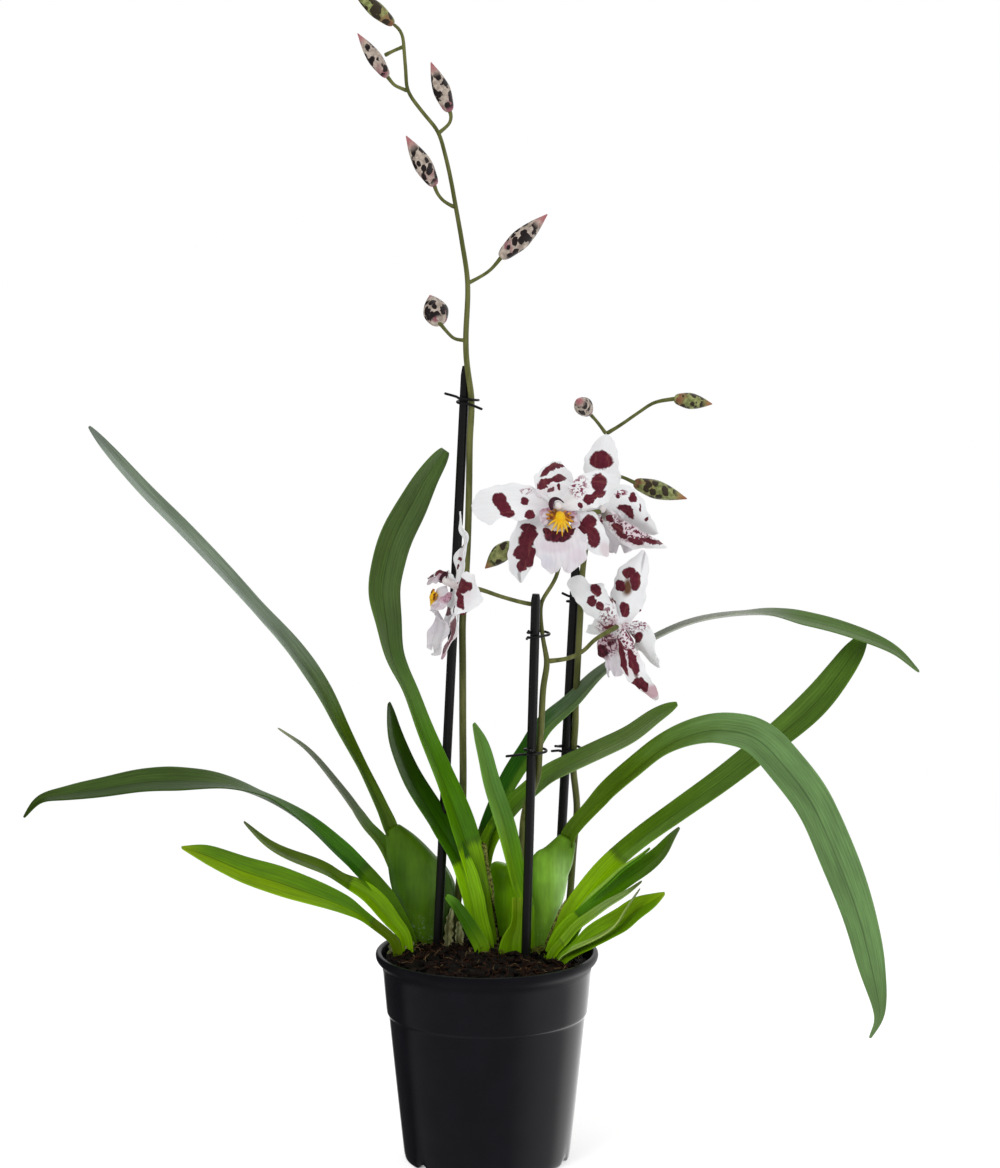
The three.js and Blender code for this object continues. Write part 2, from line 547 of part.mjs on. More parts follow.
// Flower spikes: a main stem with its pedicels and bracts joined to it
const SPIKES = {
  spike_left: {
    stem: {
      points: [[-19, 29, ROOT_DEPTH], [-15, 26, 148], [-13, 20, 196], [-13, 17, 236], [-13, 15, 271],
        [-13, 14, 293],
        [-11, 12.5, 320], [-10, 11, 342], [-9.4, 9.8, 366], [-9, 8.4, 390], [-8, 8, 412], [-10, 6, 428],
        [-10.8, 6.2, 436], [-11, 8, 446], [-10, 9, 474], [-13, 8, 496], [-16.3, 7, 515], [-19, 6.3, 530],
        [-22, 5.6, 543], [-25.5, 5, 554], [-33, 4, 563.5], [-41, 3, 575], [-42, 2, 585], [-43, 2, 598],
        [-43.6, 1, 604], [-46, 1, 608], [-49, 0, 610]],
      radius: [[0, 2.1], [0.45, 1.9], [0.65, 1.6], [0.8, 1.2], [1, 0.9]],
      steps: 26,
    },
    pedicels: [
      [[-41, 3, 575], [-46, 3, 577], [-48, 3, 578], [-52, 2, 583]],
      [[-25, 5, 553], [-19.5, 4, 558], [-18.5, 4, 562], [-19.5, 4, 565]],
      [[-16.5, 7, 514], [-22.5, 6, 517.5], [-26, 5, 522], [-27.5, 4, 526.5]],
      [[-10, 9, 474], [-4, 10, 477], [2, 10, 481], [8, 11, 488]],
      [[-11, 7.5, 444], [-17, 6, 445], [-21, 4.5, 449], [-25, 3, 454]],
      [[-43, 2, 598], [-48, 1, 596], [-52, 0, 594]],
    ],
  },
  spike_middle: {
    stem: {
      points: [[20, 26, ROOT_DEPTH], [18, 22, 137], [19, 14, 174], [20, 8, 188], [23, 0, 200],
        [27, -4.5, 211],
        [28, -4.5, 225], [29, -4.5, 240], [30, -4.5, 260], [32, -4.5, 273], [31, -4.5, 280],
        [30, -4.5, 285],
        [29, -4.4, 293], [28.5, -4.2, 299], [29, -3.5, 306], [33, 0, 312], [37, 4, 318.5], [40, 6, 332],
        [41, 6, 342], [40, 1, 352], [38.3, -10.3, 357.2]],
      radius: [[0, 2], [0.64, 1.7], [0.7, 1.2], [1, 1.1]],
      steps: 24,
    },
    pedicels: [
      [[32, -4, 274], [43, -6, 276], [51, -7, 280], [57, -7, 286], [64, -5, 290], [69, -1, 292]],
      [[29, -4, 305], [23, -4.5, 305], [9, -7, 309], [-5, -9, 314], [-12.5, -11, 315]],
      [[40, 6, 333], [26, 8, 337], [13, 9, 335]],
      [[40, 6, 336], [46, 8, 346], [53, 10, 351], [60, 12, 352]],
    ],
  },
  spike_rear: {
    stem: {
      points: [[40, 31, ROOT_DEPTH], [45, 36, 134], [47, 39, 161], [49, 42, 183], [48, 42, 196],
        [47, 40.5, 204],
        [47, 39, 217], [48, 38, 232], [48, 37.5, 242], [49, 38, 262], [50.5, 39.5, 292], [52, 43, 318],
        [56, 44, 343], [61, 43, 370], [64, 40, 390]],
      radius: [[0, 2], [0.6, 1.8], [1, 1.3]],
      steps: 20,
    },
    pedicels: [
      [[64, 40, 390], [59, 37, 397], [54, 32, 403]],
      [[64, 40, 390], [72, 40, 395], [82, 40, 402], [90, 40, 407], [101, 40, 409]],
      [[60, 43, 366], [70, 43, 367], [80, 42, 363]],
    ],
  },
};
const PEDICEL_RADIUS = [[0, 1.15], [0.6, 1], [1, 1.2]];
const spikePart = ({ stem, pedicels }) => (grow) => join([
  toSolid(tubeGeometry({ route: new Route(stem.points), radius: stem.radius, sides: 6, steps: stem.steps }, grow)),
  ...pedicels.map((points) => toSolid(tubeGeometry({
    route: new Route(points),
    radius: PEDICEL_RADIUS,
    sides: 5,
    steps: 2 * (points.length - 1),
    facing: [[0, [0.3, -1, 0.2]]],
  }, grow))),
]);

// Buds: plump spindles at the pedicel ends, given by their foot, tip and greatest radius
const BUDS = {
  bud_01: { foot: [-49, 0, 610], tip: [-70, -3, 628], plump: 4.1 },
  bud_02: { foot: [-52, 2, 583], tip: [-67, 0, 605], plump: 3.9 },
  bud_03: { foot: [-19.5, 4, 565], tip: [-29, 3, 590], plump: 4.6 },
  bud_04: { foot: [-27.5, 4, 526.5], tip: [-42, 0, 552], plump: 4.9 },
  bud_05: { foot: [8, 11, 488], tip: [32, 14, 510], plump: 5.2 },
  bud_06: { foot: [-25, 3, 454], tip: [-30, 17, 467], plump: 6.8 },
  bud_07: { foot: [13, 9, 335], tip: [-1, 8, 322], plump: 5 },
  bud_08: { foot: [54, 32, 403], tip: [48, 14, 412], plump: 5 },
  bud_09: { foot: [101, 40, 409], tip: [121, 41, 406], plump: 4.4 },
  bud_10: { foot: [80, 42, 363], tip: [108, 45, 354], plump: 5.1 },
};
const budPart = ({ foot, tip, plump }) => (grow) => toSolid(tubeGeometry({
  route: new Route([foot, tip]),
  radius: [[0, 0.35], [0.06, 0.6], [0.4, 1], [0.75, 0.62], [0.93, 0.22], [1, 0.06]]
    .map(([u, r]) => [u, r * plump]),
  flat: 0.9,
  sides: 7,
  steps: 5,
}, grow));

// Ties: a turn and a half of coated wire round a stake and its spike, with the ends left out
const TIES = {
  tie_left: { stake: 'stake_left', spike: 'spike_left', z: 412, start: -110, turns: -1.2, tail: 7 },
  tie_front_upper: { stake: 'stake_front', spike: 'spike_middle', z: 289, start: 150, turns: 1.2, tail: 2 },
  tie_front_lower: { stake: 'stake_front', spike: 'spike_middle', z: 226, start: 185, turns: 1.2, tail: 10 },
  tie_rear_upper: { stake: 'stake_rear', spike: 'spike_rear', z: 299, start: 60, turns: 1.2, tail: 4 },
  tie_rear_lower: { stake: 'stake_rear', spike: 'spike_rear', z: 218, start: 150, turns: 1.2, tail: 7 },
};
function nearestOnSpike(name, z) {
  const route = new Route(SPIKES[name].stem.points);
  let best = 0;
  for (let i = 0; i <= 400; i += 1) {
    const near = Math.abs(route.getPoint(i / 400).z - z) < Math.abs(route.getPoint(best).z - z);
    if (near) best = i / 400;
  }
  return { point: route.getPoint(best), radius: keyed(SPIKES[name].stem.radius, best) };
}
function tiePoints({ stake, spike, z, start, turns, tail }) {
  const [sx, sy] = onStake(STAKES[stake], z);
  const { point, radius } = nearestOnSpike(spike, z);
  const heading = Math.atan2(point.y - sy, point.x - sx);
  const reach = Math.max(STAKE_RADIUS, radius) + GAP + TIE_WIRE + 0.2;
  const points = [];
  const steps = 17;
  for (let i = 0; i <= steps; i += 1) {
    const angle = THREE.MathUtils.degToRad(start) + (i / steps) * turns * Math.PI * 2;
    const round = Math.cos(angle - heading) > 0 ? [point.x, point.y] : [sx, sy];
    const lift = (i / steps - 0.5) * 3.1;
    points.push([round[0] + reach * Math.cos(angle), round[1] + reach * Math.sin(angle), z + lift]);
  }
  const away = (from, next) => from.map((value, axis) => value + (value - next[axis]) * 0.6);
  const end = (from, next, rise) => {
    const step = away(from, next);
    const out = [step[0] - sx, step[1] - sy];
    const scale = tail / Math.hypot(...out);
    return [step[0] + out[0] * scale, step[1] + out[1] * scale, step[2] + rise];
  };
  return [end(points[0], points[1], -1.5), ...points, end(points[steps], points[steps - 1], 1.5)];
}
const tiePart = (tie) => (grow) => toSolid(tubeGeometry({
  route: new Route(tiePoints(tie)),
  radius: [[0, TIE_WIRE], [1, TIE_WIRE]],
  sides: 4,
  steps: 18,
  facing: [[0, [0, 0, 1]]],
}, grow));

// Flowers: five tepals joined round a column, with the lip as a piece of its own.
// column runs from the back of the flower to its cap, and facing is the way the flower looks.
// left and right are the half widths of the two sides of a blade's midline, where they differ.
const FLOWERS = {
  flower_main: {
    column: [[38, -9.5, 357], [37.5, -17, 359], [37.5, -22, 361]],
    facing: [0.15, -0.98, 0.12],
    tepals: [
      { // dorsal sepal, leaning back
        points: [[37, -12.5, 358], [35, -13.5, 366], [35.5, -11, 371.5], [37, -5, 376], [40, 3, 379]],
        left: [[0, 2.5], [0.16, 4.6], [0.35, 11.5], [0.45, 11.4], [0.65, 7.4], [0.85, 3.8], [1, 1.5]],
        right: [[0, 2.5], [0.16, 7.4], [0.35, 10], [0.65, 10.6], [0.9, 10], [1, 7]],
      },
      { // petal to the left
        points: [[37.5, -12.5, 358], [24, -16, 359], [15, -17, 360], [4, -14, 359], [-8, -8, 357]],
        left: [[0, 2.5], [0.16, 3.6], [0.35, 7.8], [0.45, 8.4], [0.55, 7.4], [0.64, 6.2], [0.75, 10],
          [0.85, 8.4], [0.93, 6.4], [1, 1.5]],
        right: [[0, 3], [0.08, 5.6], [0.25, 9.8], [0.45, 11.8], [0.65, 11], [0.85, 9], [0.93, 6.2],
          [1, 1.2]],
      },
      { // petal to the right, its tip turned back
        points: [[37.5, -12.5, 358], [51, -17, 366], [58, -17, 368], [65, -12, 367], [67, -4, 364]],
        left: [[0, 2], [0.16, 4], [0.35, 8.8], [0.55, 10.8], [0.65, 9.8], [0.8, 8], [0.92, 5], [1, 1.2]],
        right: [[0, 2.5], [0.25, 7.4], [0.45, 9.2], [0.6, 9], [0.75, 7], [0.9, 5], [1, 1.2]],
      },
      { // lower sepal to the left
        points: [[37.5, -12.5, 358], [24, -13, 349], [20, -14, 341], [19, -13, 332], [18, -8, 317]],
        left: [[0, 2], [0.16, 4], [0.35, 7.8], [0.55, 7.6], [0.75, 5.8], [0.85, 4.2], [1, 0.6]],
        right: [[0, 2], [0.16, 3.6], [0.35, 7.4], [0.6, 8.3], [0.75, 7.8], [0.85, 6.6], [0.93, 3.2],
          [1, 0.6]],
      },
      { // lower sepal to the right
        points: [[37.5, -12.5, 358], [48, -13, 350], [54, -14, 346], [59, -13, 340], [64, -8, 331]],
        left: [[0, 2.5], [0.16, 3.8], [0.35, 8], [0.45, 9.6], [0.55, 7.8], [0.65, 6.2], [0.85, 3.6],
          [1, 0.6]],
        right: [[0, 1.5], [0.25, 2.8], [0.45, 5], [0.65, 6.6], [0.75, 7.2], [0.85, 4.8], [1, 0.6]],
      },
    ],
    lip: {
      points: [[38, -14, 355], [38, -21, 349], [38, -25, 343], [39, -27, 334], [39, -25, 325]],
      left: [[0, 4], [0.16, 6], [0.25, 8.2], [0.35, 12], [0.5, 15], [0.65, 14.4], [0.85, 11.5], [1, 5]],
      right: [[0, 4], [0.16, 6], [0.35, 10.5], [0.55, 13.8], [0.7, 12], [0.85, 10.2], [1, 5.5]],
    },
  },
  flower_left: {
    column: [[-12.5, -11, 315], [-17, -11, 316], [-23, -12, 320]],
    facing: [-0.93, -0.3, 0.1],
    tepals: [
      { // dorsal sepal, seen edge on
        points: [[-15.5, -11, 316], [-14, -11, 325], [-12, -10, 333], [-11, -9, 341], [-13, -8, 346],
          [-14, -6, 355]],
        left: [[0, 2.5], [0.16, 4.2], [0.35, 10], [0.45, 8.4], [0.55, 5.4], [0.75, 2.8], [1, 1]],
        right: [[0, 2.5], [0.2, 8.5], [0.35, 6], [0.5, 5], [0.65, 2.8], [0.85, 1.4], [1, 0.5]],
      },
      { // near petal
        points: [[-15.5, -11, 316], [-13, -19, 315], [-8, -24, 313], [-2, -26, 310]],
        facing: [-0.6, -0.75, 0.1],
        left: [[0, 2], [0.16, 3.6], [0.35, 9.6], [0.5, 11.4], [0.65, 10.4], [0.75, 7.2], [0.85, 4.6],
          [1, 1]],
        right: [[0, 3], [0.25, 6], [0.45, 12.6], [0.55, 13], [0.75, 10.4], [0.93, 3.8], [1, 0.6]],
      },
      { // far petal, sweeping forward
        points: [[-15.5, -11, 316], [-20, -5, 318.5], [-26, 3, 319], [-31, 9, 317]],
        facing: [-0.3, -0.2, 0.93],
        left: [[0, 2], [0.35, 5.6], [0.65, 6.4], [0.85, 4], [1, 1]],
        right: [[0, 2], [0.45, 4], [0.65, 5.4], [0.88, 5.4], [1, 1.4]],
      },
      { // near lower sepal
        points: [[-15.5, -11, 314], [-16, -16, 303], [-18, -17, 291], [-24, -15, 277]],
        left: [[0, 2], [0.3, 6], [0.5, 7], [0.65, 4.6], [0.85, 3], [1, 0.8]],
        right: [[0, 2], [0.3, 3.8], [0.5, 3.6], [0.75, 3.2], [1, 0.8]],
      },
      { // far lower sepal
        points: [[-15.5, -11, 314], [-18, -3, 306], [-20, 3, 297], [-22, 7, 287]],
        halfWidth: [[0, 3], [0.35, 6], [0.6, 7], [0.85, 4.6], [1, 1]],
      },
    ],
    lip: {
      points: [[-20.5, -11, 313.5], [-25.5, -10, 311], [-27, -8, 305], [-24.5, -5, 297], [-26, -3, 288],
        [-30, -2, 279]],
      left: [[0, 3], [0.2, 4.5], [0.45, 7], [0.7, 13], [0.88, 14], [1, 6]],
      right: [[0, 3], [0.2, 4.5], [0.42, 8], [0.6, 14], [0.8, 12], [1, 4]],
    },
  },
  flower_right: {
    column: [[61.5, 11, 353], [62, 18, 353], [63, 25, 354]],
    facing: [0.35, 0.93, 0.05],
    tepals: [
      { // dorsal sepal
        points: [[62, 14, 354], [61, 14, 364], [61, 14, 373], [61, 15, 380], [62, 18, 387], [64, 21, 392]],
        left: [[0, 3], [0.16, 7.4], [0.3, 10], [0.5, 10.4], [0.75, 8.4], [0.93, 5.4], [1, 1.5]],
        right: [[0, 3], [0.16, 6.2], [0.35, 10.2], [0.55, 11.2], [0.75, 8], [0.93, 4], [1, 1]],
      },
      { // petal to the right
        points: [[62, 14, 354], [69, 11, 358], [77, 10, 357], [84, 13, 348], [91, 18, 339]],
        left: [[0, 2.5], [0.16, 9], [0.35, 11.6], [0.5, 12.4], [0.65, 10.8], [0.85, 7], [1, 2]],
        right: [[0, 2], [0.16, 5.4], [0.27, 9.4], [0.45, 5.4], [0.75, 3.4], [1, 0.8]],
      },
      { // petal to the left, sweeping away
        points: [[62, 14, 354], [54, 20, 358], [49, 29, 361], [47, 39, 362]],
        halfWidth: [[0, 3], [0.35, 8], [0.6, 9.5], [0.85, 6], [1, 1.4]],
      },
      { // lower sepal to the right
        points: [[62, 14, 353], [67, 9, 346], [74, 8, 340], [83, 11, 336], [96, 17, 332]],
        left: [[0, 3], [0.35, 5], [0.55, 6], [0.75, 3.6], [1, 0.6]],
        right: [[0, 3], [0.25, 5.8], [0.45, 6.4], [0.75, 4.4], [1, 0.5]],
      },
      { // lower sepal to the left
        points: [[62, 14, 353], [57, 20, 345], [54, 27, 337], [52, 34, 328]],
        halfWidth: [[0, 3], [0.35, 6], [0.6, 7], [0.86, 4.6], [1, 1]],
      },
    ],
    lip: {
      points: [[62, 19, 351], [64, 24, 347], [67, 29, 342], [70, 33, 335], [72, 35, 326]],
      halfWidth: [[0, 4], [0.2, 6.5], [0.4, 8], [0.68, 14], [0.87, 12], [1, 5]],
    },
  },
  flower_lower: {
    column: [[70, 0, 292], [70, 7, 292], [70, 14, 293]],
    facing: [0.3, 0.94, -0.1],
    tepals: [
      { // dorsal sepal
        points: [[70.5, 2, 292], [73, 3, 302], [76, 3, 311], [78, 2, 319], [81, 4, 327], [83, 8, 332]],
        left: [[0, 3], [0.16, 7.6], [0.3, 9.7], [0.55, 8.8], [0.75, 6.8], [0.9, 4.4], [1, 0.6]],
        right: [[0, 3], [0.16, 7.2], [0.35, 10.2], [0.5, 10.5], [0.65, 9.4], [0.8, 6], [0.93, 2.4],
          [1, 0.5]],
      },
      { // petal to the left
        points: [[70.5, 2, 292], [64, 0, 301], [56, -2, 306], [49, -1, 313], [43, 3, 316]],
        left: [[0, 1.5], [0.16, 3.4], [0.35, 6.6], [0.5, 10.2], [0.65, 11], [0.74, 5], [0.85, 6.8],
          [0.93, 4.4], [1, 1.5]],
        right: [[0, 2.5], [0.16, 6.4], [0.3, 8], [0.45, 8.4], [0.65, 6.4], [0.85, 5.8], [1, 1.5]],
      },
      { // petal to the right, seen aslant
        points: [[70.5, 2, 292], [78, 5, 289], [83, 4, 284], [87, 5, 277], [92, 9, 268]],
        facing: [0.75, 0.6, 0.2],
        left: [[0, 2], [0.16, 2.6], [0.35, 8.4], [0.55, 10.4], [0.75, 10], [0.9, 6], [1, 1]],
        right: [[0, 4], [0.12, 10], [0.25, 12], [0.4, 10], [0.55, 7], [0.75, 4.2], [1, 0.6]],
      },
      { // lower sepal to the right
        points: [[70.5, 2, 291], [75, 1, 279], [78, 0, 270], [83, 2, 261], [91, 7, 251]],
        left: [[0, 2.5], [0.16, 3.8], [0.35, 6.6], [0.5, 6.8], [0.65, 5.4], [0.85, 2.8], [1, 1]],
        right: [[0, 2.5], [0.25, 4.4], [0.45, 5.8], [0.75, 5], [0.93, 3.2], [1, 1]],
      },
      { // lower sepal to the left, sweeping away
        points: [[70.5, 2, 291], [64, 9, 290], [58, 17, 288], [54, 26, 284]],
        facing: [0.2, 0.6, 0.75],
        left: [[0, 3], [0.16, 6.6], [0.35, 7.4], [0.55, 5.4], [0.75, 3], [1, 1]],
        right: [[0, 2], [0.25, 4], [0.45, 8], [0.7, 9.6], [0.88, 7], [1, 2]],
      },
    ],
    lip: {
      points: [[70, 7, 289], [67, 11, 283], [65, 14, 277], [65, 15, 270], [66, 13, 262]],
      left: [[0, 1.5], [0.16, 2.5], [0.35, 5.8], [0.5, 6.4], [0.65, 3], [0.8, 2], [1, 1]],
      right: [[0, 2], [0.35, 8.4], [0.9, 9.3], [1, 6]],
    },
  },
};
const COLUMN_RADIUS = [[0, 1.8], [0.3, 2.4], [0.8, 2.6], [1, 1.6]];
const petalBlade = (flower, { points, facing = flower.facing, ...widths }) => ({
  ...widths,
  route: new Route(points),
  facing: [[0, facing]],
  fold: [[0, 22], [1, 8]],
  thickness: TEPAL_THICKNESS,
  along: 6,
  across: 2,
  ruffle: 1.2,
});
const tepalsPart = (flower) => (grow) => join([
  ...flower.tepals.map((tepal) => toSolid(bladeGeometry(petalBlade(flower, tepal), grow))),
  toSolid(tubeGeometry({
    route: new Route(flower.column),
    radius: COLUMN_RADIUS,
    sides: 6,
    steps: 4,
    facing: [[0, [0, 0, 1]]],
  }, grow)),
]);
const lipPart = (flower) => (grow) => {
  const blade = petalBlade(flower, flower.lip);
  const crest = (u, across, out) => {
    const { centre, side, face } = frameAt(blade.route, blade.facing, u);
    return centre.addScaledVector(side, across).addScaledVector(face, out).toArray();
  };
  const ridges = [-1, 0, 1].map((place) => toSolid(tubeGeometry({
    route: new Route([crest(0.04, 1.2 * place, 0.5), crest(0.2, 2.4 * place, 3.2), crest(0.42, 3.6 * place, 0.8)]),
    radius: [[0, 1.5], [0.6, 1.2], [1, 0.4]],
    sides: 4,
    steps: 3,
    facing: [[0, [1, 0, 0.3]]],
  }, grow)));
  return join([toSolid(bladeGeometry(blade, grow)), ...ridges]);
};

// Every piece in the order in which it keeps its shape: a later piece is cut clear of the earlier ones
const pieces = [];
const list = (table, part, material) => {
  for (const [name, value] of Object.entries(table)) {
    pieces.push({ name, material: value.material ?? material, make: part(value) });
  }
};
list(STAKES, stakePart, 'stake');
list(SPIKES, spikePart, 'stem');
list(BULBS, bulbPart, 'bulb');
list(TIES, tiePart, 'tie');
list(LEAVES, leafPart, 'leaf');
list(BUDS, budPart, 'bud');
for (const [name, flower] of Object.entries(FLOWERS)) {
  pieces.push({ name: `${name}_tepals`, material: 'tepal', make: tepalsPart(flower) });
  pieces.push({ name: `${name}_lip`, material: 'lip', make: lipPart(flower) });
}
pieces.push({ name: 'growing_medium', material: 'soil', make: growingMedium });

const orchid = new THREE.Group();
const boxesMeet = (a, b) => [0, 1, 2].every((axis) => a.min[axis] <= b.max[axis] && b.min[axis] <= a.max[axis]);
const grown = [];
for (const { name, material, make } of pieces) {
  let solid = make(0);
  for (const other of grown) {
    if (boxesMeet(solid.boundingBox(), other.box)) solid = solid.subtract(other.solid);
  }
  orchid.add(toMesh(largest(solid.simplify(SMOOTHING)), name, material));
  if (name !== 'growing_medium') {
    const wider = make(GAP);
    grown.push({ solid: wider, box: wider.boundingBox() });
  }
}
orchid.add(toMesh(pot(), 'pot', 'pot'));

export default orchid;
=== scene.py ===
# Looks for the potted odontonia orchid: metres, +Z up, origin at the centre of the pot's base.
# Tables are in millimetres in the same frame. -Y is the side that the photograph shows.
import math
import random

import bmesh
import bpy
from mathutils import Euler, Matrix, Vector, noise


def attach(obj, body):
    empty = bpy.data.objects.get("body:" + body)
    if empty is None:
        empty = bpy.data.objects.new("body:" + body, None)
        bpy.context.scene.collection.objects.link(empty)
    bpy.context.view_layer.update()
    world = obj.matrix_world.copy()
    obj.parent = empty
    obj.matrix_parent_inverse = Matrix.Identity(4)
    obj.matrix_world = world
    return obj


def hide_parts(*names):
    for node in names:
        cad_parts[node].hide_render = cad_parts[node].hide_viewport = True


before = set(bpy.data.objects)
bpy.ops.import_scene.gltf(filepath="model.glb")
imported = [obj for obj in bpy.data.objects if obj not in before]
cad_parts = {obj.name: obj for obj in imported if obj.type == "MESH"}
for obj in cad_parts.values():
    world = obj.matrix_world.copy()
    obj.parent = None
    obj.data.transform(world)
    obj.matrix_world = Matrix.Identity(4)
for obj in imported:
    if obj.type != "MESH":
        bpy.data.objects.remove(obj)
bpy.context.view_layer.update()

MM = 0.001
# Millimetres for one unit of the metric map, which has the middle line of a blade at 0.5
MAP = 100

# Driving sizes: millimetres, degrees and counts
POT_HEIGHT = 115
RIM_RADIUS = 60
BASE_RADIUS = 45
STEP_HEIGHT = 82
WALL = 1.3
FLOOR = 2.2
NOTCHES = 6
NOTCH_ANGLE = 40
NOTCH_REACH = 5
NOTCH_RISE = 3.2
SOIL_TOP = 109.5
SOIL_RADIUS = 54.4
SOIL_HEAP = 5
SOIL_SLOPE = 0.04
SOIL_RELIEF = 1.6
CHIPS = 330
CHIPS_RADIUS = 53.0
FIBRES = 460
MOSS_FIBRES = 30
MOSS = (27, 2)
STAKE_RADIUS = 2.5
LEAF_THICKNESS = 0.8
DRY_THICKNESS = 0.3
TEPAL_THICKNESS = 0.5
PEDICEL_REACH = 1.2
LIP_FOLD = 1.3
LIP_NOTCH = 4.5
TIE_WIRE = 0.75
TIE_PITCH = 3.1
TIE_STEPS = 17
TIE_CLEAR = 0.5

# Studio: places in metres, lens in millimetres
FLOOR_RADIUS = 0.9
EYE = (0.007, -2.2, 0.686)
AIM = (0.007, 0, 0.315)
LENS = 129.6
WORLD_LIGHT = 0.5

# Shapes, in millimetres. Points run along a piece. Keys are (share of its length, value).
STAKES = {
    "stake_left": ((-30.5, 11, 42), (-11, 11, 430)),
    "stake_front": ((19, -8, 42), (26, -8, 311)),
    "stake_rear": ((34, 28, 42), (48, 44, 317)),
}
BULBS = {
    "pseudobulb_left": dict(points=[(-33.5, 21, 96), (-33.6, 21, 117), (-34.2, 21, 136), (-35, 21, 144),
        (-39.5, 20.5, 154.5), (-46, 19.5, 168.5), (-51.5, 18, 179)], radius=[(0, 5.5), (0.19, 7.9),
        (0.36, 12.4), (0.46, 15.3), (0.54, 16.5), (0.63, 15.7), (0.75, 12.8), (0.87, 9.2), (1, 4)]),
    "pseudobulb_rear_left": dict(points=[(-24, 38, 96), (-25, 38, 122), (-27, 37, 145), (-29, 37, 158)],
        radius=[(0, 7), (0.4, 10.5), (0.75, 9), (1, 3)]),
    "pseudobulb_centre": dict(points=[(10, 36, 96), (10, 36, 107), (10.5, 36, 123), (9.5, 36, 144),
        (10, 35, 150), (11.5, 35, 154)], radius=[(0, 7.9), (0.82, 10.6), (0.93, 9.9), (1, 6.2)]),
    "pseudobulb_right": dict(points=[(28, 14, 96), (28.6, 14, 114), (30.2, 14, 131), (31.6, 14, 143.5),
        (33.2, 14, 156), (38, 14, 163), (43.8, 14, 174)], radius=[(0, 3.2), (0.22, 3.8), (0.33, 5.8),
        (0.44, 8.2), (0.59, 10.6), (0.72, 11.5), (0.79, 10.9), (0.86, 8.9), (1, 4.8)]),
}


def blade(points, half=(), fold=None, facing=None, left=None, right=None):
    """Route, half widths on each side of it, fold in degrees and the way that the face looks."""
    spec = {"points": points, "left": left or half, "right": right or half, "fold": fold, "facing": facing}
    return {key: value for key, value in spec.items() if value}


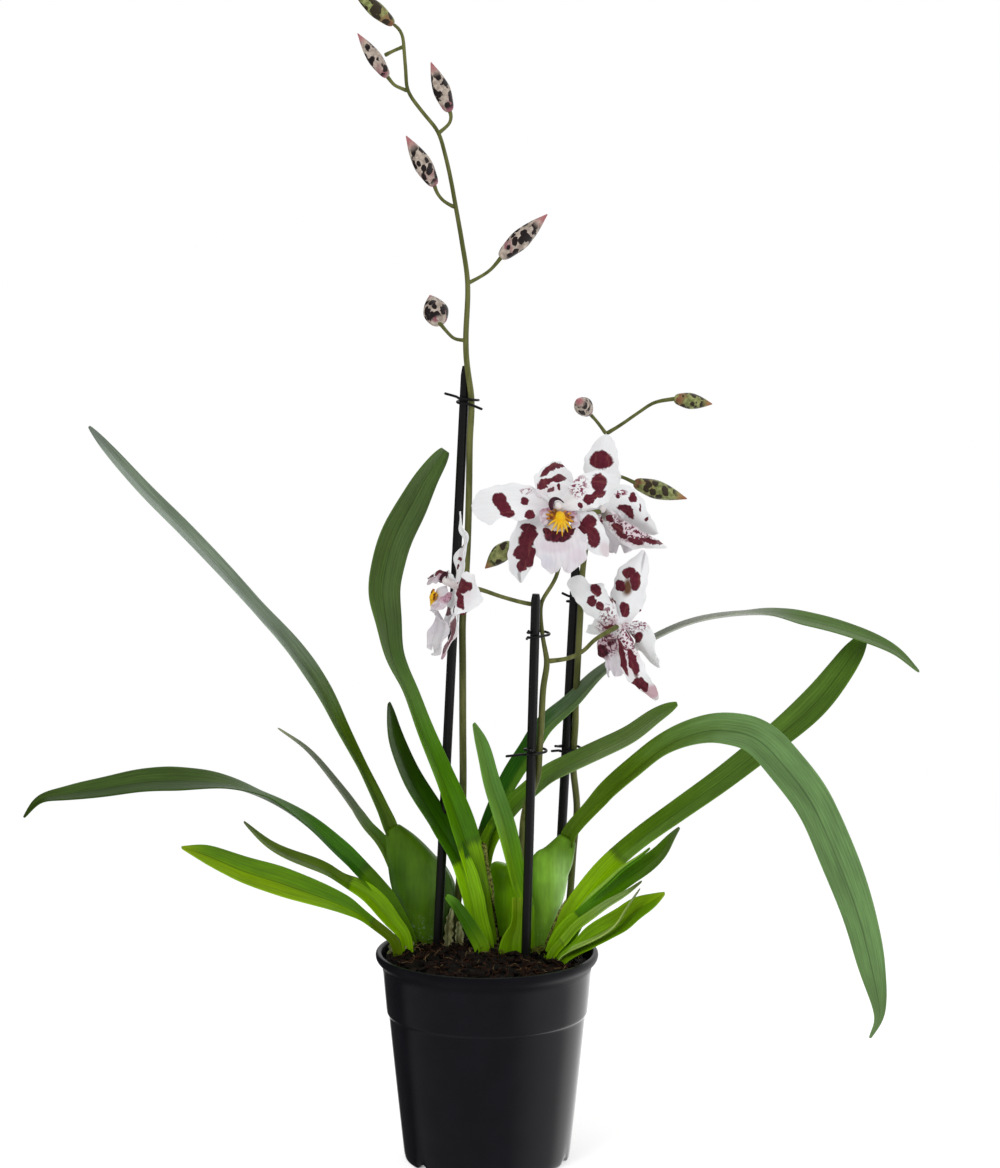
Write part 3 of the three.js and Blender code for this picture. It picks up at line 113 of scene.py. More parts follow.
LEAVES = {
    "leaf_01": blade([(-51, 18, 175), (-56, 18, 188), (-67, 20, 210), (-78, 22, 231), (-89, 23, 253),
        (-104, 25, 275), (-123, 28, 296), (-142, 31, 317), (-163, 34, 339), (-184, 37, 360),
        (-203, 40, 381), (-214, 42, 394)], half=[(0, 4.6), (0.02, 5.1), (0.05, 4.1), (0.14, 4.8),
        (0.31, 7.5), (0.46, 7.8), (0.7, 7), (0.9, 5), (0.97, 3), (1, 0.8)], fold=[(0, 34), (0.05, 30),
        (0.14, 33), (0.61, 18), (1, 12)], facing=[(0.05, (0.35, -0.9, 0.2)), (0.14, (0.73, -0.52, 0.43)),
        (0.36, (0.61, -0.56, 0.56)), (0.52, (0.68, -0.34, 0.63)), (1, (0.5, -0.6, 0.6))]),
    "leaf_02": blade([(-40, 11, 96), (-41, 11, 118), (-52, 9, 140), (-59, 7, 148), (-72, 0, 164),
        (-77, -3, 169), (-97, -11, 189), (-118, -19, 204), (-139, -27, 213), (-159, -34, 216),
        (-180, -42, 217), (-200, -49, 215), (-220, -55, 213), (-233, -59, 211), (-241, -62, 202)],
        half=[(0, 3.1), (0.12, 3.7), (0.21, 6.2), (0.28, 6.4), (0.31, 8.3), (0.65, 9.8), (0.86, 7.2),
        (0.96, 3), (1, 0.7)], fold=[(0, 34), (0.28, 30), (0.31, 33), (0.45, 18), (1, 14)],
        facing=[(0.28, (0.45, -0.75, 0.5)), (0.31, (0.53, -0.52, 0.65)), (0.51, (0.3, 0.1, 1)),
        (0.6, (0, -0.25, 0.95)), (0.7, (0, -0.6, 0.85)), (1, (-0.4, -0.5, 0.7))]),
    "leaf_03": blade([(-42, 25, 96), (-43, 25, 134), (-48, 26, 149), (-54, 29, 163), (-59, 31, 170),
        (-65, 32, 176), (-72, 38, 184), (-80, 43, 194), (-98, 52, 214), (-115, 60, 225)], half=[(0, 3.9),
        (0.33, 5.4), (0.43, 5.1), (0.53, 3.8), (0.61, 6), (0.66, 6), (0.9, 3.5), (1, 0.8)], fold=[(0, 34),
        (0.53, 30), (0.61, 25), (1, 18)], facing=[(0.53, (0.5, -0.8, 0.3)), (0.61, (0.6, -0.1, 0.75)),
        (1, (0.5, 0, 0.85))]),
    "leaf_04": blade([(-43, 2, 96), (-44, 2, 121), (-50, 2, 129), (-64, 0, 146), (-78, -3, 155),
        (-87, -9, 162), (-108, -15, 172), (-118, -18, 179), (-129, -22, 191)], half=[(0, 3.8), (0.18, 4.5),
        (0.33, 6.9), (0.47, 5.6), (0.53, 3.9), (0.62, 6.1), (0.75, 5.5), (0.9, 3.5), (1, 0.8)],
        fold=[(0, 34), (0.53, 30), (0.62, 20), (1, 16)], facing=[(0.53, (0.4, -0.75, 0.5)),
        (0.62, (0.4, -0.35, 0.8)), (1, (0.5, -0.35, 0.75))]),
    "leaf_05": blade([(-48, -5, 96), (-49, -5, 119), (-60, -9, 131), (-75, -19, 144), (-107, -30, 159),
        (-128, -38, 168), (-148, -47, 179), (-160, -52, 184)], half=[(0, 3.1), (0.25, 3.7), (0.32, 4.4),
        (0.38, 6.5), (0.61, 9.6), (0.74, 9), (0.86, 7.4), (0.92, 5.8), (1, 0.7)], fold=[(0, 30), (0.38, 30),
        (0.61, 17), (1, 12)], facing=[(0, (0.35, -0.75, 0.55)), (1, (0.3, -0.65, 0.7))]),
    "leaf_06": blade([(1, 13, 96), (1, 13, 112), (-3, 12, 134), (-4, 10, 145), (-6, 10, 155), (-8, 8, 163),
        (-14, 4, 184), (-23, 0, 209), (-34, -2, 236), (-42, -3, 258), (-50, -3, 277), (-53, -1, 296),
        (-55, 1, 312), (-52, 3, 329), (-48, 5, 341), (-40, 8, 356), (-33, 11, 369), (-27, 13, 378),
        (-22, 14, 385)], half=[(0, 5.3), (0.19, 8.7), (0.62, 9.4), (0.82, 11.5), (0.89, 11.2), (0.98, 7),
        (1, 4)], fold=[(0, 36), (0.29, 30), (0.38, 23), (0.55, 26), (0.75, 12), (1, 10)],
        facing=[(0.29, (0.55, -0.82, 0.12)), (0.38, (0.81, -0.57, 0.27)), (0.57, (0.95, -0.4, 0.3)),
        (0.72, (0.55, -0.8, 0.05)), (0.9, (0.5, -0.75, -0.35)), (1, (0.5, -0.7, -0.45))]),
    "leaf_07": blade([(-1, 4, 96), (-1, 4, 113), (-6, 4, 131), (-8, 3, 143), (-15, 3, 165), (-27, 4, 186),
        (-40, 2, 208), (-47, -3, 226), (-50, -5, 237), (-52, -9, 253)], half=[(0, 5.1), (0.1, 6),
        (0.15, 7.4), (0.35, 7.9), (0.42, 7.1), (0.49, 7.2), (0.56, 9.3), (0.85, 7), (0.95, 4), (1, 1)],
        fold=[(0, 34), (0.49, 30), (0.56, 22), (1, 12)], facing=[(0.49, (0.5, -0.84, 0.2)),
        (0.56, (0.74, -0.56, 0.37)), (1, (0.8, -0.6, 0.05))]),
    "leaf_08": blade([(23, 2, 96), (22, 2, 120), (21, 2, 140), (17, 1, 152), (14, 0, 166), (11, -1, 179),
        (8, -3, 190), (2, -8, 210), (-2, -12, 228), (-7, -15, 243)], half=[(0, 4), (0.35, 5.6), (0.55, 7),
        (0.75, 6.3), (0.92, 4.6), (1, 1)], fold=[(0, 45), (0.35, 22), (1, 10)],
        facing=[(0, (0.55, -0.8, 0.05)), (0.5, (0.66, -0.72, 0.05)), (1, (0.7, -0.7, 0.1))]),
    "leaf_09": blade([(-2, 30, 96), (-3, 29, 119), (-3, 27, 147), (-2, 26, 164), (0, 25, 174), (6, 25, 189),
        (14, 26, 205), (23, 27, 219), (31, 28, 232), (46, 30, 245), (62, 33, 261), (91, 39, 279),
        (116, 45, 288), (149, 54, 290), (171, 58, 286), (196, 62, 279), (222, 64, 268), (237, 65, 255)],
        half=[(0, 5.5), (0.2, 7), (0.4, 9), (0.75, 9), (0.9, 7), (0.97, 3.6), (1, 0.8)], fold=[(0, 50),
        (0.2, 38), (0.35, 18), (0.6, 14), (1, 12)], facing=[(0, (-0.8, -0.55, 0.1)),
        (0.3, (-0.55, -0.62, 0.5)), (0.42, (-0.4, -0.35, 0.8)), (0.55, (-0.1, 0.12, 1)),
        (0.73, (0, 0.12, 1)), (0.8, (0.2, -0.3, 0.9)), (1, (0.5, -0.45, 0.7))]),
    "leaf_10": blade([(-2, 22, 96), (-3, 22, 121), (-2, 22, 143), (-1, 22, 160), (2, 21, 171), (8, 19, 182),
        (16, 15, 193), (24, 12, 201), (33, 11, 209), (43, 12, 214), (60, 13, 222), (77, 11, 231),
        (91, 9, 242), (102, 7, 249)], half=[(0, 5), (0.35, 7), (0.6, 7.4), (0.88, 6.8), (0.97, 4.5),
        (1, 1.5)], fold=[(0, 45), (0.4, 28), (1, 12)], facing=[(0, (-0.5, -0.8, 0.1)),
        (0.4, (-0.6, -0.7, 0.4)), (0.6, (-0.25, -0.6, 0.8)), (1, (-0.4, -0.6, 0.7))]),
    "leaf_11": blade([(43, 14, 170), (45, 12, 177), (56, 8, 191), (66, 5, 202), (77, 0, 213),
        (97, -10, 231), (118, -19, 240), (136, -27, 240), (145, -31, 236), (155, -36, 226), (170, -43, 207),
        (182, -50, 182), (194, -56, 151), (202, -61, 120), (206, -63, 96), (201, -64, 84)], half=[(0, 5.8),
        (0.08, 5.7), (0.13, 8.3), (0.29, 9.4), (0.43, 11.8), (0.67, 12.2), (0.8, 10), (0.88, 8), (1, 0.8)],
        fold=[(0, 32), (0.08, 30), (0.13, 34), (0.41, 16), (1, 10)], facing=[(0.08, (-0.4, -0.8, 0.45)),
        (0.13, (-0.41, -0.63, 0.67)), (0.26, (-0.3, -0.6, 0.8)), (0.43, (0.1, -0.72, 0.72)),
        (0.61, (0.55, -0.84, 0.2)), (0.85, (0.4, -0.9, 0.12)), (1, (0.4, -0.6, -0.3))]),
    "leaf_12": blade([(35, 4, 96), (36, 4, 114), (41, 4, 126), (45, 6, 134), (51, 8, 142), (65, 15, 157),
        (83, 24, 171), (105, 33, 185), (127, 41, 199), (149, 51, 214), (171, 61, 230), (183, 66, 241),
        (194, 71, 254), (202, 74.5, 265), (207, 77, 272.5)], half=[(0, 4.5), (0.23, 7.2), (0.37, 7),
        (0.7, 8.6), (0.82, 9.8), (0.92, 8.6), (0.97, 6.8), (1, 3.5)], fold=[(0, 34), (0.27, 30), (0.4, 20),
        (1, 10)], facing=[(0, (-0.35, -0.85, 0.4)), (0.37, (-0.43, -0.8, 0.47)), (0.7, (-0.35, -0.8, 0.55)),
        (1, (-0.6, -0.75, 0.3))]),
    "leaf_13": blade([(34, -3, 96), (36, -3, 112), (46, -3, 129), (52, -2, 136), (62, 4, 143),
        (78, 10, 154), (86, 12, 159), (94, 14, 166), (99, 16, 173), (104, 17, 179)], half=[(0, 5.4),
        (0.14, 6.4), (0.22, 7.8), (0.31, 7), (0.39, 4.4), (0.68, 6.2), (0.86, 5), (1, 0.8)], fold=[(0, 30),
        (0.51, 30), (0.68, 21), (1, 14)], facing=[(0.51, (-0.35, -0.85, 0.4)), (0.68, (-0.46, -0.71, 0.51)),
        (1, (-0.55, -0.65, 0.45))]),
    "leaf_14": blade([(35, 0, 96), (39, 1, 117), (47, 2, 131), (55, 4, 142), (65, 6, 151), (74, 8, 159),
        (82, 10, 164), (88, 11, 169)], half=[(0, 2.4), (0.5, 2.6), (0.85, 1.8), (1, 0.7)], fold=[(0, 40),
        (0.4, 28), (1, 14)], facing=[(0, (-0.6, -0.75, 0.3)), (0.5, (-0.45, -0.6, 0.65)),
        (1, (-0.45, -0.5, 0.75))]),
    "leaf_15": blade([(37, -11, 96), (39, -11, 112), (47, -12, 118), (56, -16, 126), (66, -21, 133),
        (73, -27, 139), (80, -33, 146), (87, -38, 151), (94, -42, 157)], half=[(0, 4.3), (0.17, 5.1),
        (0.28, 4.8), (0.41, 7.8), (0.67, 8.8), (0.79, 7.6), (0.92, 4.4), (1, 0.8)], fold=[(0, 24),
        (0.55, 24), (0.67, 16), (1, 10)], facing=[(0, (-0.35, -0.75, 0.6)), (1, (-0.4, -0.65, 0.65))]),
    "leaf_16": blade([(33, -7, 96), (39, -9, 113), (46, -13, 119), (55, -20, 125), (63, -26, 131),
        (69, -30, 137), (75, -36, 149), (81, -40, 159)], half=[(0, 2.8), (0.3, 3.2), (0.85, 2.4), (1, 0.7)],
        fold=[(0, 40), (0.4, 24), (1, 16)], facing=[(0, (-0.7, -0.3, 0.7)), (0.5, (-0.6, 0.1, 0.8)),
        (1, (-0.85, 0.15, 0.5))]),
    "leaf_17": blade([(-3, -4, 96), (-3, -4, 117), (-6, -4, 123), (-17, -7, 142), (-22, -8, 147)],
        half=[(0, 4.8), (0.37, 5.6), (0.9, 3.4), (1, 1.6)], fold=[(0, 24), (0.87, 24), (1, 16)],
        facing=[(0, (0.5, -0.8, 0.3)), (1, (0.55, -0.75, 0.35))]),
    "leaf_18": blade([(34, -7, 96), (35, -7, 114), (42, -7, 122), (48, -8, 130), (56, -8, 136),
        (64, -8, 142), (75, -9, 149), (83, -11, 156)], half=[(0, 3.6), (0.35, 4.6), (0.66, 4), (0.88, 2.4),
        (1, 0.7)], fold=[(0, 36), (1, 16)], facing=[(0, (-0.5, -0.6, 0.6)), (0.5, (-0.4, -0.45, 0.8)),
        (1, (-0.4, -0.3, 0.85))]),
    "sheath_front": blade([(12, -4, 96), (13, -4, 120), (16, -2, 130), (16, -2, 145)], half=[(0, 6.3),
        (0.36, 7.4), (0.48, 6.8), (0.7, 3.6), (1, 2.9)], fold=[(0, 24), (1, 24)], facing=(0.1, -1, 0.05)),
}
SPIKES = {
    "spike_left": {
        "stem": [(-19, 29, 96), (-15, 26, 148), (-13, 20, 196), (-13, 17, 236), (-13, 15, 271),
            (-13, 14, 293), (-11, 12.5, 320), (-10, 11, 342), (-9.4, 9.8, 366), (-9, 8.4, 390),
            (-8, 8, 412), (-10, 6, 428), (-10.8, 6.2, 436), (-11, 8, 446), (-10, 9, 474), (-13, 8, 496),
            (-16.3, 7, 515), (-19, 6.3, 530), (-22, 5.6, 543), (-25.5, 5, 554), (-33, 4, 563.5),
            (-41, 3, 575), (-42, 2, 585), (-43, 2, 598), (-43.6, 1, 604), (-46, 1, 608), (-49, 0, 610)],
        "radius": [(0, 2.1), (0.45, 1.9), (0.65, 1.6), (0.8, 1.2), (1, 0.9)],
        "pedicels": [
            [(-41, 3, 575), (-46, 3, 577), (-48, 3, 578), (-52, 2, 583)],
            [(-25, 5, 553), (-19.5, 4, 558), (-18.5, 4, 562), (-19.5, 4, 565)],
            [(-16.5, 7, 514), (-22.5, 6, 517.5), (-26, 5, 522), (-27.5, 4, 526.5)],
            [(-10, 9, 474), (-4, 10, 477), (2, 10, 481), (8, 11, 488)],
            [(-11, 7.5, 444), (-17, 6, 445), (-21, 4.5, 449), (-25, 3, 454)],
            [(-43, 2, 598), (-48, 1, 596), (-52, 0, 594)],
        ],
    },
    "spike_middle": {
        "stem": [(20, 26, 96), (18, 22, 137), (19, 14, 174), (20, 8, 188), (23, 0, 200), (27, -4.5, 211),
            (28, -4.5, 225), (29, -4.5, 240), (30, -4.5, 260), (32, -4.5, 273), (31, -4.5, 280),
            (30, -4.5, 285), (29, -4.4, 293), (28.5, -4.2, 299), (29, -3.5, 306), (33, 0, 312),
            (37, 4, 318.5), (40, 6, 332), (41, 6, 342), (40, 1, 352), (38.3, -10.3, 357.2)],
        "radius": [(0, 2), (0.64, 1.7), (0.7, 1.2), (1, 1.1)],
        "pedicels": [
            [(32, -4, 274), (43, -6, 276), (51, -7, 280), (57, -7, 286), (64, -5, 290), (69, -1, 292)],
            [(29, -4, 305), (23, -4.5, 305), (9, -7, 309), (-5, -9, 314), (-12.5, -11, 315)],
            [(40, 6, 333), (26, 8, 337), (13, 9, 335)],
            [(40, 6, 336), (46, 8, 346), (53, 10, 351), (60, 12, 352)],
        ],
    },
    "spike_rear": {
        "stem": [(40, 31, 96), (45, 36, 134), (47, 39, 161), (49, 42, 183), (48, 42, 196), (47, 40.5, 204),
            (47, 39, 217), (48, 38, 232), (48, 37.5, 242), (49, 38, 262), (50.5, 39.5, 292), (52, 43, 318),
            (56, 44, 343), (61, 43, 370), (64, 40, 390)],
        "radius": [(0, 2), (0.6, 1.8), (1, 1.3)],
        "pedicels": [
            [(64, 40, 390), (59, 37, 397), (54, 32, 403)],
            [(64, 40, 390), (72, 40, 395), (82, 40, 402), (90, 40, 407), (101, 40, 409)],
            [(60, 43, 366), (70, 43, 367), (80, 42, 363)],
        ],
    },
}
# Foot, tip and half width of each bud
BUDS = {
    "bud_01": ((-49, 0, 610), (-70, -3, 628), 4.1),
    "bud_02": ((-52, 2, 583), (-67, 0, 605), 3.9),
    "bud_03": ((-19.5, 4, 565), (-29, 3, 590), 4.6),
    "bud_04": ((-27.5, 4, 526.5), (-42, 0, 552), 4.9),
    "bud_05": ((8, 11, 488), (32, 14, 510), 5.2),
    "bud_06": ((-25, 3, 454), (-30, 17, 467), 6.8),
    "bud_07": ((13, 9, 335), (-1, 8, 322), 5),
    "bud_08": ((54, 32, 403), (48, 14, 412), 5),
    "bud_09": ((101, 40, 409), (121, 41, 406), 4.4),
    "bud_10": ((80, 42, 363), (108, 45, 354), 5.1),
}
FLOWERS = {
    "flower_main": {
        "column": [(38, -9.5, 357), (37.5, -17, 359), (37.5, -22, 361)],
        "facing": (0.15, -0.98, 0.12),
        "tepals": [
            blade([(37, -12.5, 358), (35, -13.5, 366), (35.5, -11, 371.5), (37, -5, 376), (40, 3, 379)],
                left=[(0, 2.5), (0.16, 4.6), (0.35, 11.5), (0.45, 11.4), (0.65, 7.4), (0.85, 3.8),
                (1, 1.5)], right=[(0, 2.5), (0.16, 7.4), (0.35, 10), (0.65, 10.6), (0.9, 10), (1, 7)]),
            blade([(37.5, -12.5, 358), (24, -16, 359), (15, -17, 360), (4, -14, 359), (-8, -8, 357)],
                left=[(0, 2.5), (0.16, 3.6), (0.35, 7.8), (0.45, 8.4), (0.55, 7.4), (0.64, 6.2), (0.75, 10),
                (0.85, 8.4), (0.93, 6.4), (1, 1.5)], right=[(0, 3), (0.08, 5.6), (0.25, 9.8), (0.45, 11.8),
                (0.65, 11), (0.85, 9), (0.93, 6.2), (1, 1.2)]),
            blade([(37.5, -12.5, 358), (51, -17, 366), (58, -17, 368), (65, -12, 367), (67, -4, 364)],
                left=[(0, 2), (0.16, 4), (0.35, 8.8), (0.55, 10.8), (0.65, 9.8), (0.8, 8), (0.92, 5),
                (1, 1.2)], right=[(0, 2.5), (0.25, 7.4), (0.45, 9.2), (0.6, 9), (0.75, 7), (0.9, 5),
                (1, 1.2)]),
            blade([(37.5, -12.5, 358), (24, -13, 349), (20, -14, 341), (19, -13, 332), (18, -8, 317)],
                left=[(0, 2), (0.16, 4), (0.35, 7.8), (0.55, 7.6), (0.75, 5.8), (0.85, 4.2), (1, 0.6)],
                right=[(0, 2), (0.16, 3.6), (0.35, 7.4), (0.6, 8.3), (0.75, 7.8), (0.85, 6.6), (0.93, 3.2),
                (1, 0.6)]),
            blade([(37.5, -12.5, 358), (48, -13, 350), (54, -14, 346), (59, -13, 340), (64, -8, 331)],
                left=[(0, 2.5), (0.16, 3.8), (0.35, 8), (0.45, 9.6), (0.55, 7.8), (0.65, 6.2), (0.85, 3.6),
                (1, 0.6)], right=[(0, 1.5), (0.25, 2.8), (0.45, 5), (0.65, 6.6), (0.75, 7.2), (0.85, 4.8),
                (1, 0.6)]),
        ],
        "lip": blade([(38, -14, 355), (38, -21, 349), (38, -25, 343), (39, -27, 334), (39, -25, 325)],
            left=[(0, 4), (0.16, 6), (0.25, 8.2), (0.35, 12), (0.5, 15), (0.65, 14.4), (0.85, 11.5),
            (1, 5)], right=[(0, 4), (0.16, 6), (0.35, 10.5), (0.55, 13.8), (0.7, 12), (0.85, 10.2),
            (1, 5.5)]),
    },
    "flower_left": {
        "column": [(-12.5, -11, 315), (-17, -11, 316), (-23, -12, 320)],
        "facing": (-0.93, -0.3, 0.1),
        "tepals": [
            blade([(-15.5, -11, 316), (-14, -11, 325), (-12, -10, 333), (-11, -9, 341), (-13, -8, 346),
                (-14, -6, 355)], left=[(0, 2.5), (0.16, 4.2), (0.35, 10), (0.45, 8.4), (0.55, 5.4),
                (0.75, 2.8), (1, 1)], right=[(0, 2.5), (0.2, 8.5), (0.35, 6), (0.5, 5), (0.65, 2.8),
                (0.85, 1.4), (1, 0.5)]),
            blade([(-15.5, -11, 316), (-13, -19, 315), (-8, -24, 313), (-2, -26, 310)], left=[(0, 2),
                (0.16, 3.6), (0.35, 9.6), (0.5, 11.4), (0.65, 10.4), (0.75, 7.2), (0.85, 4.6), (1, 1)],
                right=[(0, 3), (0.25, 6), (0.45, 12.6), (0.55, 13), (0.75, 10.4), (0.93, 3.8), (1, 0.6)],
                facing=(-0.6, -0.75, 0.1)),
            blade([(-15.5, -11, 316), (-20, -5, 318.5), (-26, 3, 319), (-31, 9, 317)], left=[(0, 2),
                (0.35, 5.6), (0.65, 6.4), (0.85, 4), (1, 1)], right=[(0, 2), (0.45, 4), (0.65, 5.4),
                (0.88, 5.4), (1, 1.4)], facing=(-0.3, -0.2, 0.93)),
            blade([(-15.5, -11, 314), (-16, -16, 303), (-18, -17, 291), (-24, -15, 277)], left=[(0, 2),
                (0.3, 6), (0.5, 7), (0.65, 4.6), (0.85, 3), (1, 0.8)], right=[(0, 2), (0.3, 3.8),
                (0.5, 3.6), (0.75, 3.2), (1, 0.8)]),
            blade([(-15.5, -11, 314), (-18, -3, 306), (-20, 3, 297), (-22, 7, 287)], half=[(0, 3),
                (0.35, 6), (0.6, 7), (0.85, 4.6), (1, 1)]),
        ],
        "lip": blade([(-20.5, -11, 313.5), (-25.5, -10, 311), (-27, -8, 305), (-24.5, -5, 297),
            (-26, -3, 288), (-30, -2, 279)], left=[(0, 3), (0.2, 4.5), (0.45, 7), (0.7, 13), (0.88, 14),
            (1, 6)], right=[(0, 3), (0.2, 4.5), (0.42, 8), (0.6, 14), (0.8, 12), (1, 4)]),
    },
    "flower_right": {
        "column": [(61.5, 11, 353), (62, 18, 353), (63, 25, 354)],
        "facing": (0.35, 0.93, 0.05),
        "tepals": [
            blade([(62, 14, 354), (61, 14, 364), (61, 14, 373), (61, 15, 380), (62, 18, 387),
                (64, 21, 392)], left=[(0, 3), (0.16, 7.4), (0.3, 10), (0.5, 10.4), (0.75, 8.4), (0.93, 5.4),
                (1, 1.5)], right=[(0, 3), (0.16, 6.2), (0.35, 10.2), (0.55, 11.2), (0.75, 8), (0.93, 4),
                (1, 1)]),
            blade([(62, 14, 354), (69, 11, 358), (77, 10, 357), (84, 13, 348), (91, 18, 339)],
                left=[(0, 2.5), (0.16, 9), (0.35, 11.6), (0.5, 12.4), (0.65, 10.8), (0.85, 7), (1, 2)],
                right=[(0, 2), (0.16, 5.4), (0.27, 9.4), (0.45, 5.4), (0.75, 3.4), (1, 0.8)]),
            blade([(62, 14, 354), (54, 20, 358), (49, 29, 361), (47, 39, 362)], half=[(0, 3), (0.35, 8),
                (0.6, 9.5), (0.85, 6), (1, 1.4)]),
            blade([(62, 14, 353), (67, 9, 346), (74, 8, 340), (83, 11, 336), (96, 17, 332)], left=[(0, 3),
                (0.35, 5), (0.55, 6), (0.75, 3.6), (1, 0.6)], right=[(0, 3), (0.25, 5.8), (0.45, 6.4),
                (0.75, 4.4), (1, 0.5)]),
            blade([(62, 14, 353), (57, 20, 345), (54, 27, 337), (52, 34, 328)], half=[(0, 3), (0.35, 6),
                (0.6, 7), (0.86, 4.6), (1, 1)]),
        ],
        "lip": blade([(62, 19, 351), (64, 24, 347), (67, 29, 342), (70, 33, 335), (72, 35, 326)],
            half=[(0, 4), (0.2, 6.5), (0.4, 8), (0.68, 14), (0.87, 12), (1, 5)]),
    },
    "flower_lower": {
        "column": [(70, 0, 292), (70, 7, 292), (70, 14, 293)],
        "facing": (0.3, 0.94, -0.1),
        "tepals": [
            blade([(70.5, 2, 292), (73, 3, 302), (76, 3, 311), (78, 2, 319), (81, 4, 327), (83, 8, 332)],
                left=[(0, 3), (0.16, 7.6), (0.3, 9.7), (0.55, 8.8), (0.75, 6.8), (0.9, 4.4), (1, 0.6)],
                right=[(0, 3), (0.16, 7.2), (0.35, 10.2), (0.5, 10.5), (0.65, 9.4), (0.8, 6), (0.93, 2.4),
                (1, 0.5)]),
            blade([(70.5, 2, 292), (64, 0, 301), (56, -2, 306), (49, -1, 313), (43, 3, 316)],
                left=[(0, 1.5), (0.16, 3.4), (0.35, 6.6), (0.5, 10.2), (0.65, 11), (0.74, 5), (0.85, 6.8),
                (0.93, 4.4), (1, 1.5)], right=[(0, 2.5), (0.16, 6.4), (0.3, 8), (0.45, 8.4), (0.65, 6.4),
                (0.85, 5.8), (1, 1.5)]),
            blade([(70.5, 2, 292), (78, 5, 289), (83, 4, 284), (87, 5, 277), (92, 9, 268)], left=[(0, 2),
                (0.16, 2.6), (0.35, 8.4), (0.55, 10.4), (0.75, 10), (0.9, 6), (1, 1)], right=[(0, 4),
                (0.12, 10), (0.25, 12), (0.4, 10), (0.55, 7), (0.75, 4.2), (1, 0.6)],
                facing=(0.75, 0.6, 0.2)),
            blade([(70.5, 2, 291), (75, 1, 279), (78, 0, 270), (83, 2, 261), (91, 7, 251)], left=[(0, 2.5),
                (0.16, 3.8), (0.35, 6.6), (0.5, 6.8), (0.65, 5.4), (0.85, 2.8), (1, 1)], right=[(0, 2.5),
                (0.25, 4.4), (0.45, 5.8), (0.75, 5), (0.93, 3.2), (1, 1)]),
            blade([(70.5, 2, 291), (64, 9, 290), (58, 17, 288), (54, 26, 284)], left=[(0, 3), (0.16, 6.6),
                (0.35, 7.4), (0.55, 5.4), (0.75, 3), (1, 1)], right=[(0, 2), (0.25, 4), (0.45, 8),
                (0.7, 9.6), (0.88, 7), (1, 2)], facing=(0.2, 0.6, 0.75)),
        ],
        "lip": blade([(70, 7, 289), (67, 11, 283), (65, 14, 277), (65, 15, 270), (66, 13, 262)],
            left=[(0, 1.5), (0.16, 2.5), (0.35, 5.8), (0.5, 6.4), (0.65, 3), (0.8, 2), (1, 1)],
            right=[(0, 2), (0.35, 8.4), (0.9, 9.3), (1, 6)]),
    },
}


